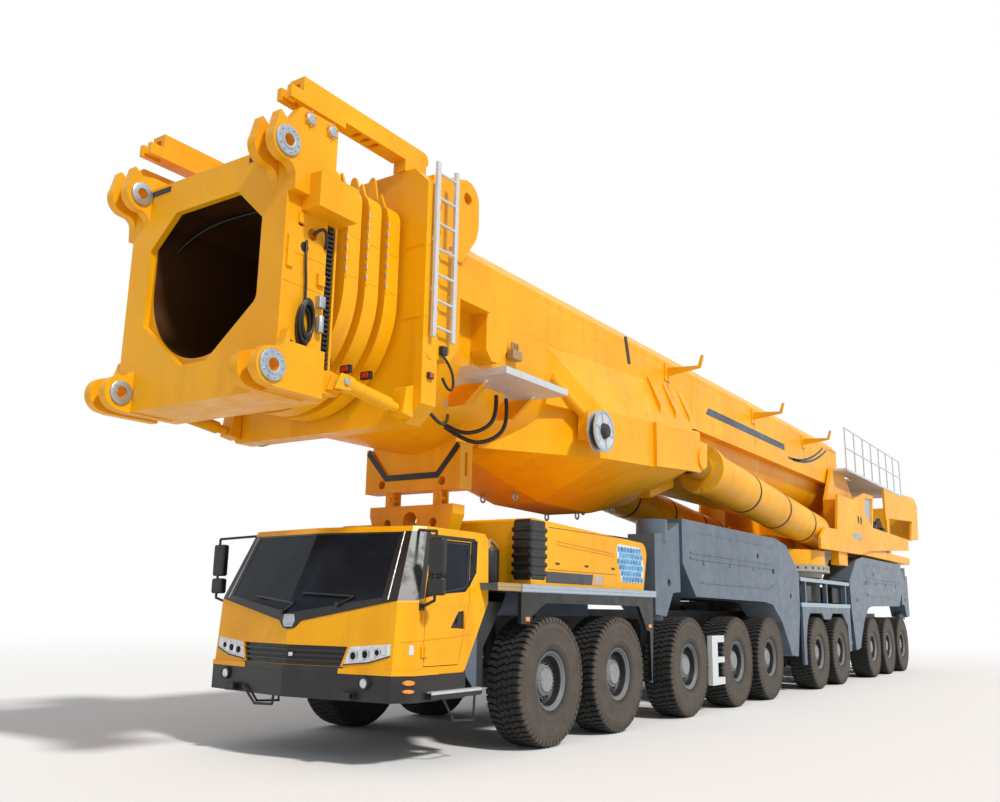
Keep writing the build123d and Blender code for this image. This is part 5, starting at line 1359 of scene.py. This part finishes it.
def outrigger_trim():
    """Clamp ring on each jack housing, and a seam and four bosses on each outrigger's arm."""
    for end in ("front", "rear"):
        parts = [rounded("jack_ring", (1.400, 3.440, 2.600), 0.228, 0.060, "z", 48, 0.008),
                 box_piece("rib_seam", (1.645, 1.656), (4.60, 8.40), (2.816, 2.826))]
        for y in (4.9, 6.1, 7.3, 8.5):
            parts.append(soften(round_piece("rib_boss", (1.652, y, 2.35), 0.045, 0.016, "x", 20), 0.004, 1))
        trim = joined("outrigger_parts", parts)
        if end == "rear":
            flip = Matrix.Translation((0, 2 * OUTRIGGER_MIDDLE, 0)) @ Matrix.Scale(-1, 4, (0, 1, 0))
            trim = repeated("outrigger_parts_behind", trim, [flip])
            open_mesh(trim)
            bpy.ops.mesh.select_all(action="SELECT")
            bpy.ops.mesh.normals_make_consistent(inside=False)
            close_mesh()
        trim.name = f"outrigger_trim_{end}"
        both_sides(trim, f"outrigger_{end}_{{side}}", SLATE_GREY)


head_bushes()
head_side()
locking_cylinders()
collar_trim()
flange_trim()
flank_stripes()
keel_rings()
hoses_and_valves()
hose_reel()
rest_pads()
cylinder_bands()
slewing_trim()
tower_trim()
outrigger_trim()


# ================================================================ floor, light and camera
def studio():
    """White floor that fades into a white background, pale light from the sky and one warm sun."""
    put_down()
    bpy.ops.mesh.primitive_plane_add(size=400, location=(0, 0, -0.002))
    floor = bpy.context.object
    floor.name = "studio_floor"
    material, shader, place = finish_base("studio_floor_white", 0.9)
    feed(shader, Base_Color=(0.86, 0.86, 0.86, 1))
    tree = shader.id_data
    glow = added(tree, "Emission", Color=(1, 1, 1, 1), Strength=1)
    mixed = added(tree, "MixShader", graded(length(place), 14, 34), shader.outputs[0], glow.outputs[0])
    feed(tree.nodes["Material Output"], Surface=mixed.outputs[0])
    floor.data.materials.append(material)

    world = bpy.data.worlds.new("studio_sky")
    bpy.context.scene.world = world
    world.use_nodes = True
    tree = world.node_tree
    sky = feed(tree.nodes["Background"], Color=(0.93, 0.96, 1.0, 1), Strength=0.44)
    white = added(tree, "Background", Color=(1, 1, 1, 1), Strength=1)
    path = added(tree, "LightPath").outputs
    seen = path["Is Camera Ray"]
    for ray in ("Is Glossy Ray", "Is Transmission Ray"):
        seen = sums("MAXIMUM", seen, path[ray])
    mixed = added(tree, "MixShader", seen, sky.outputs[0], white.outputs[0])
    feed(tree.nodes["World Output"], Surface=mixed.outputs[0])

    lamp = bpy.data.lights.new("studio_key", "SUN")
    lamp.energy = 2.75
    lamp.angle = radians(6)
    lamp.color = (1.0, 0.97, 0.92)
    key = bpy.data.objects.new("studio_key", lamp)
    key.rotation_mode = "QUATERNION"
    key.rotation_quaternion = Vector((0.68, -0.16, 0.72)).to_track_quat("Z", "Y")
    bpy.context.collection.objects.link(key)


def look():
    """Camera low at the front left corner, looking up along the boom."""
    heading, climb, tilt = radians(34.22), radians(12.42), radians(0.98)
    ahead = Vector((-sin(heading) * cos(climb), cos(heading) * cos(climb), sin(climb)))
    right = Vector((cos(heading), sin(heading), 0))
    up = right.cross(ahead)
    right, up = right * cos(tilt) + up * sin(tilt), up * cos(tilt) - right * sin(tilt)
    camera = bpy.data.cameras.new("camera")
    camera.lens = 33.67
    camera.sensor_width = 36
    camera.clip_end = 500
    eye = bpy.data.objects.new("camera", camera)
    turn = Matrix((right, up, -ahead)).transposed().to_4x4()
    eye.matrix_world = Matrix.Translation((7.584, -9.861 + FIRST_AXLE, 1.587)) @ turn
    bpy.context.collection.objects.link(eye)
    bpy.context.scene.camera = eye
    bpy.context.scene.view_settings.view_transform = "Standard"


studio()
look()
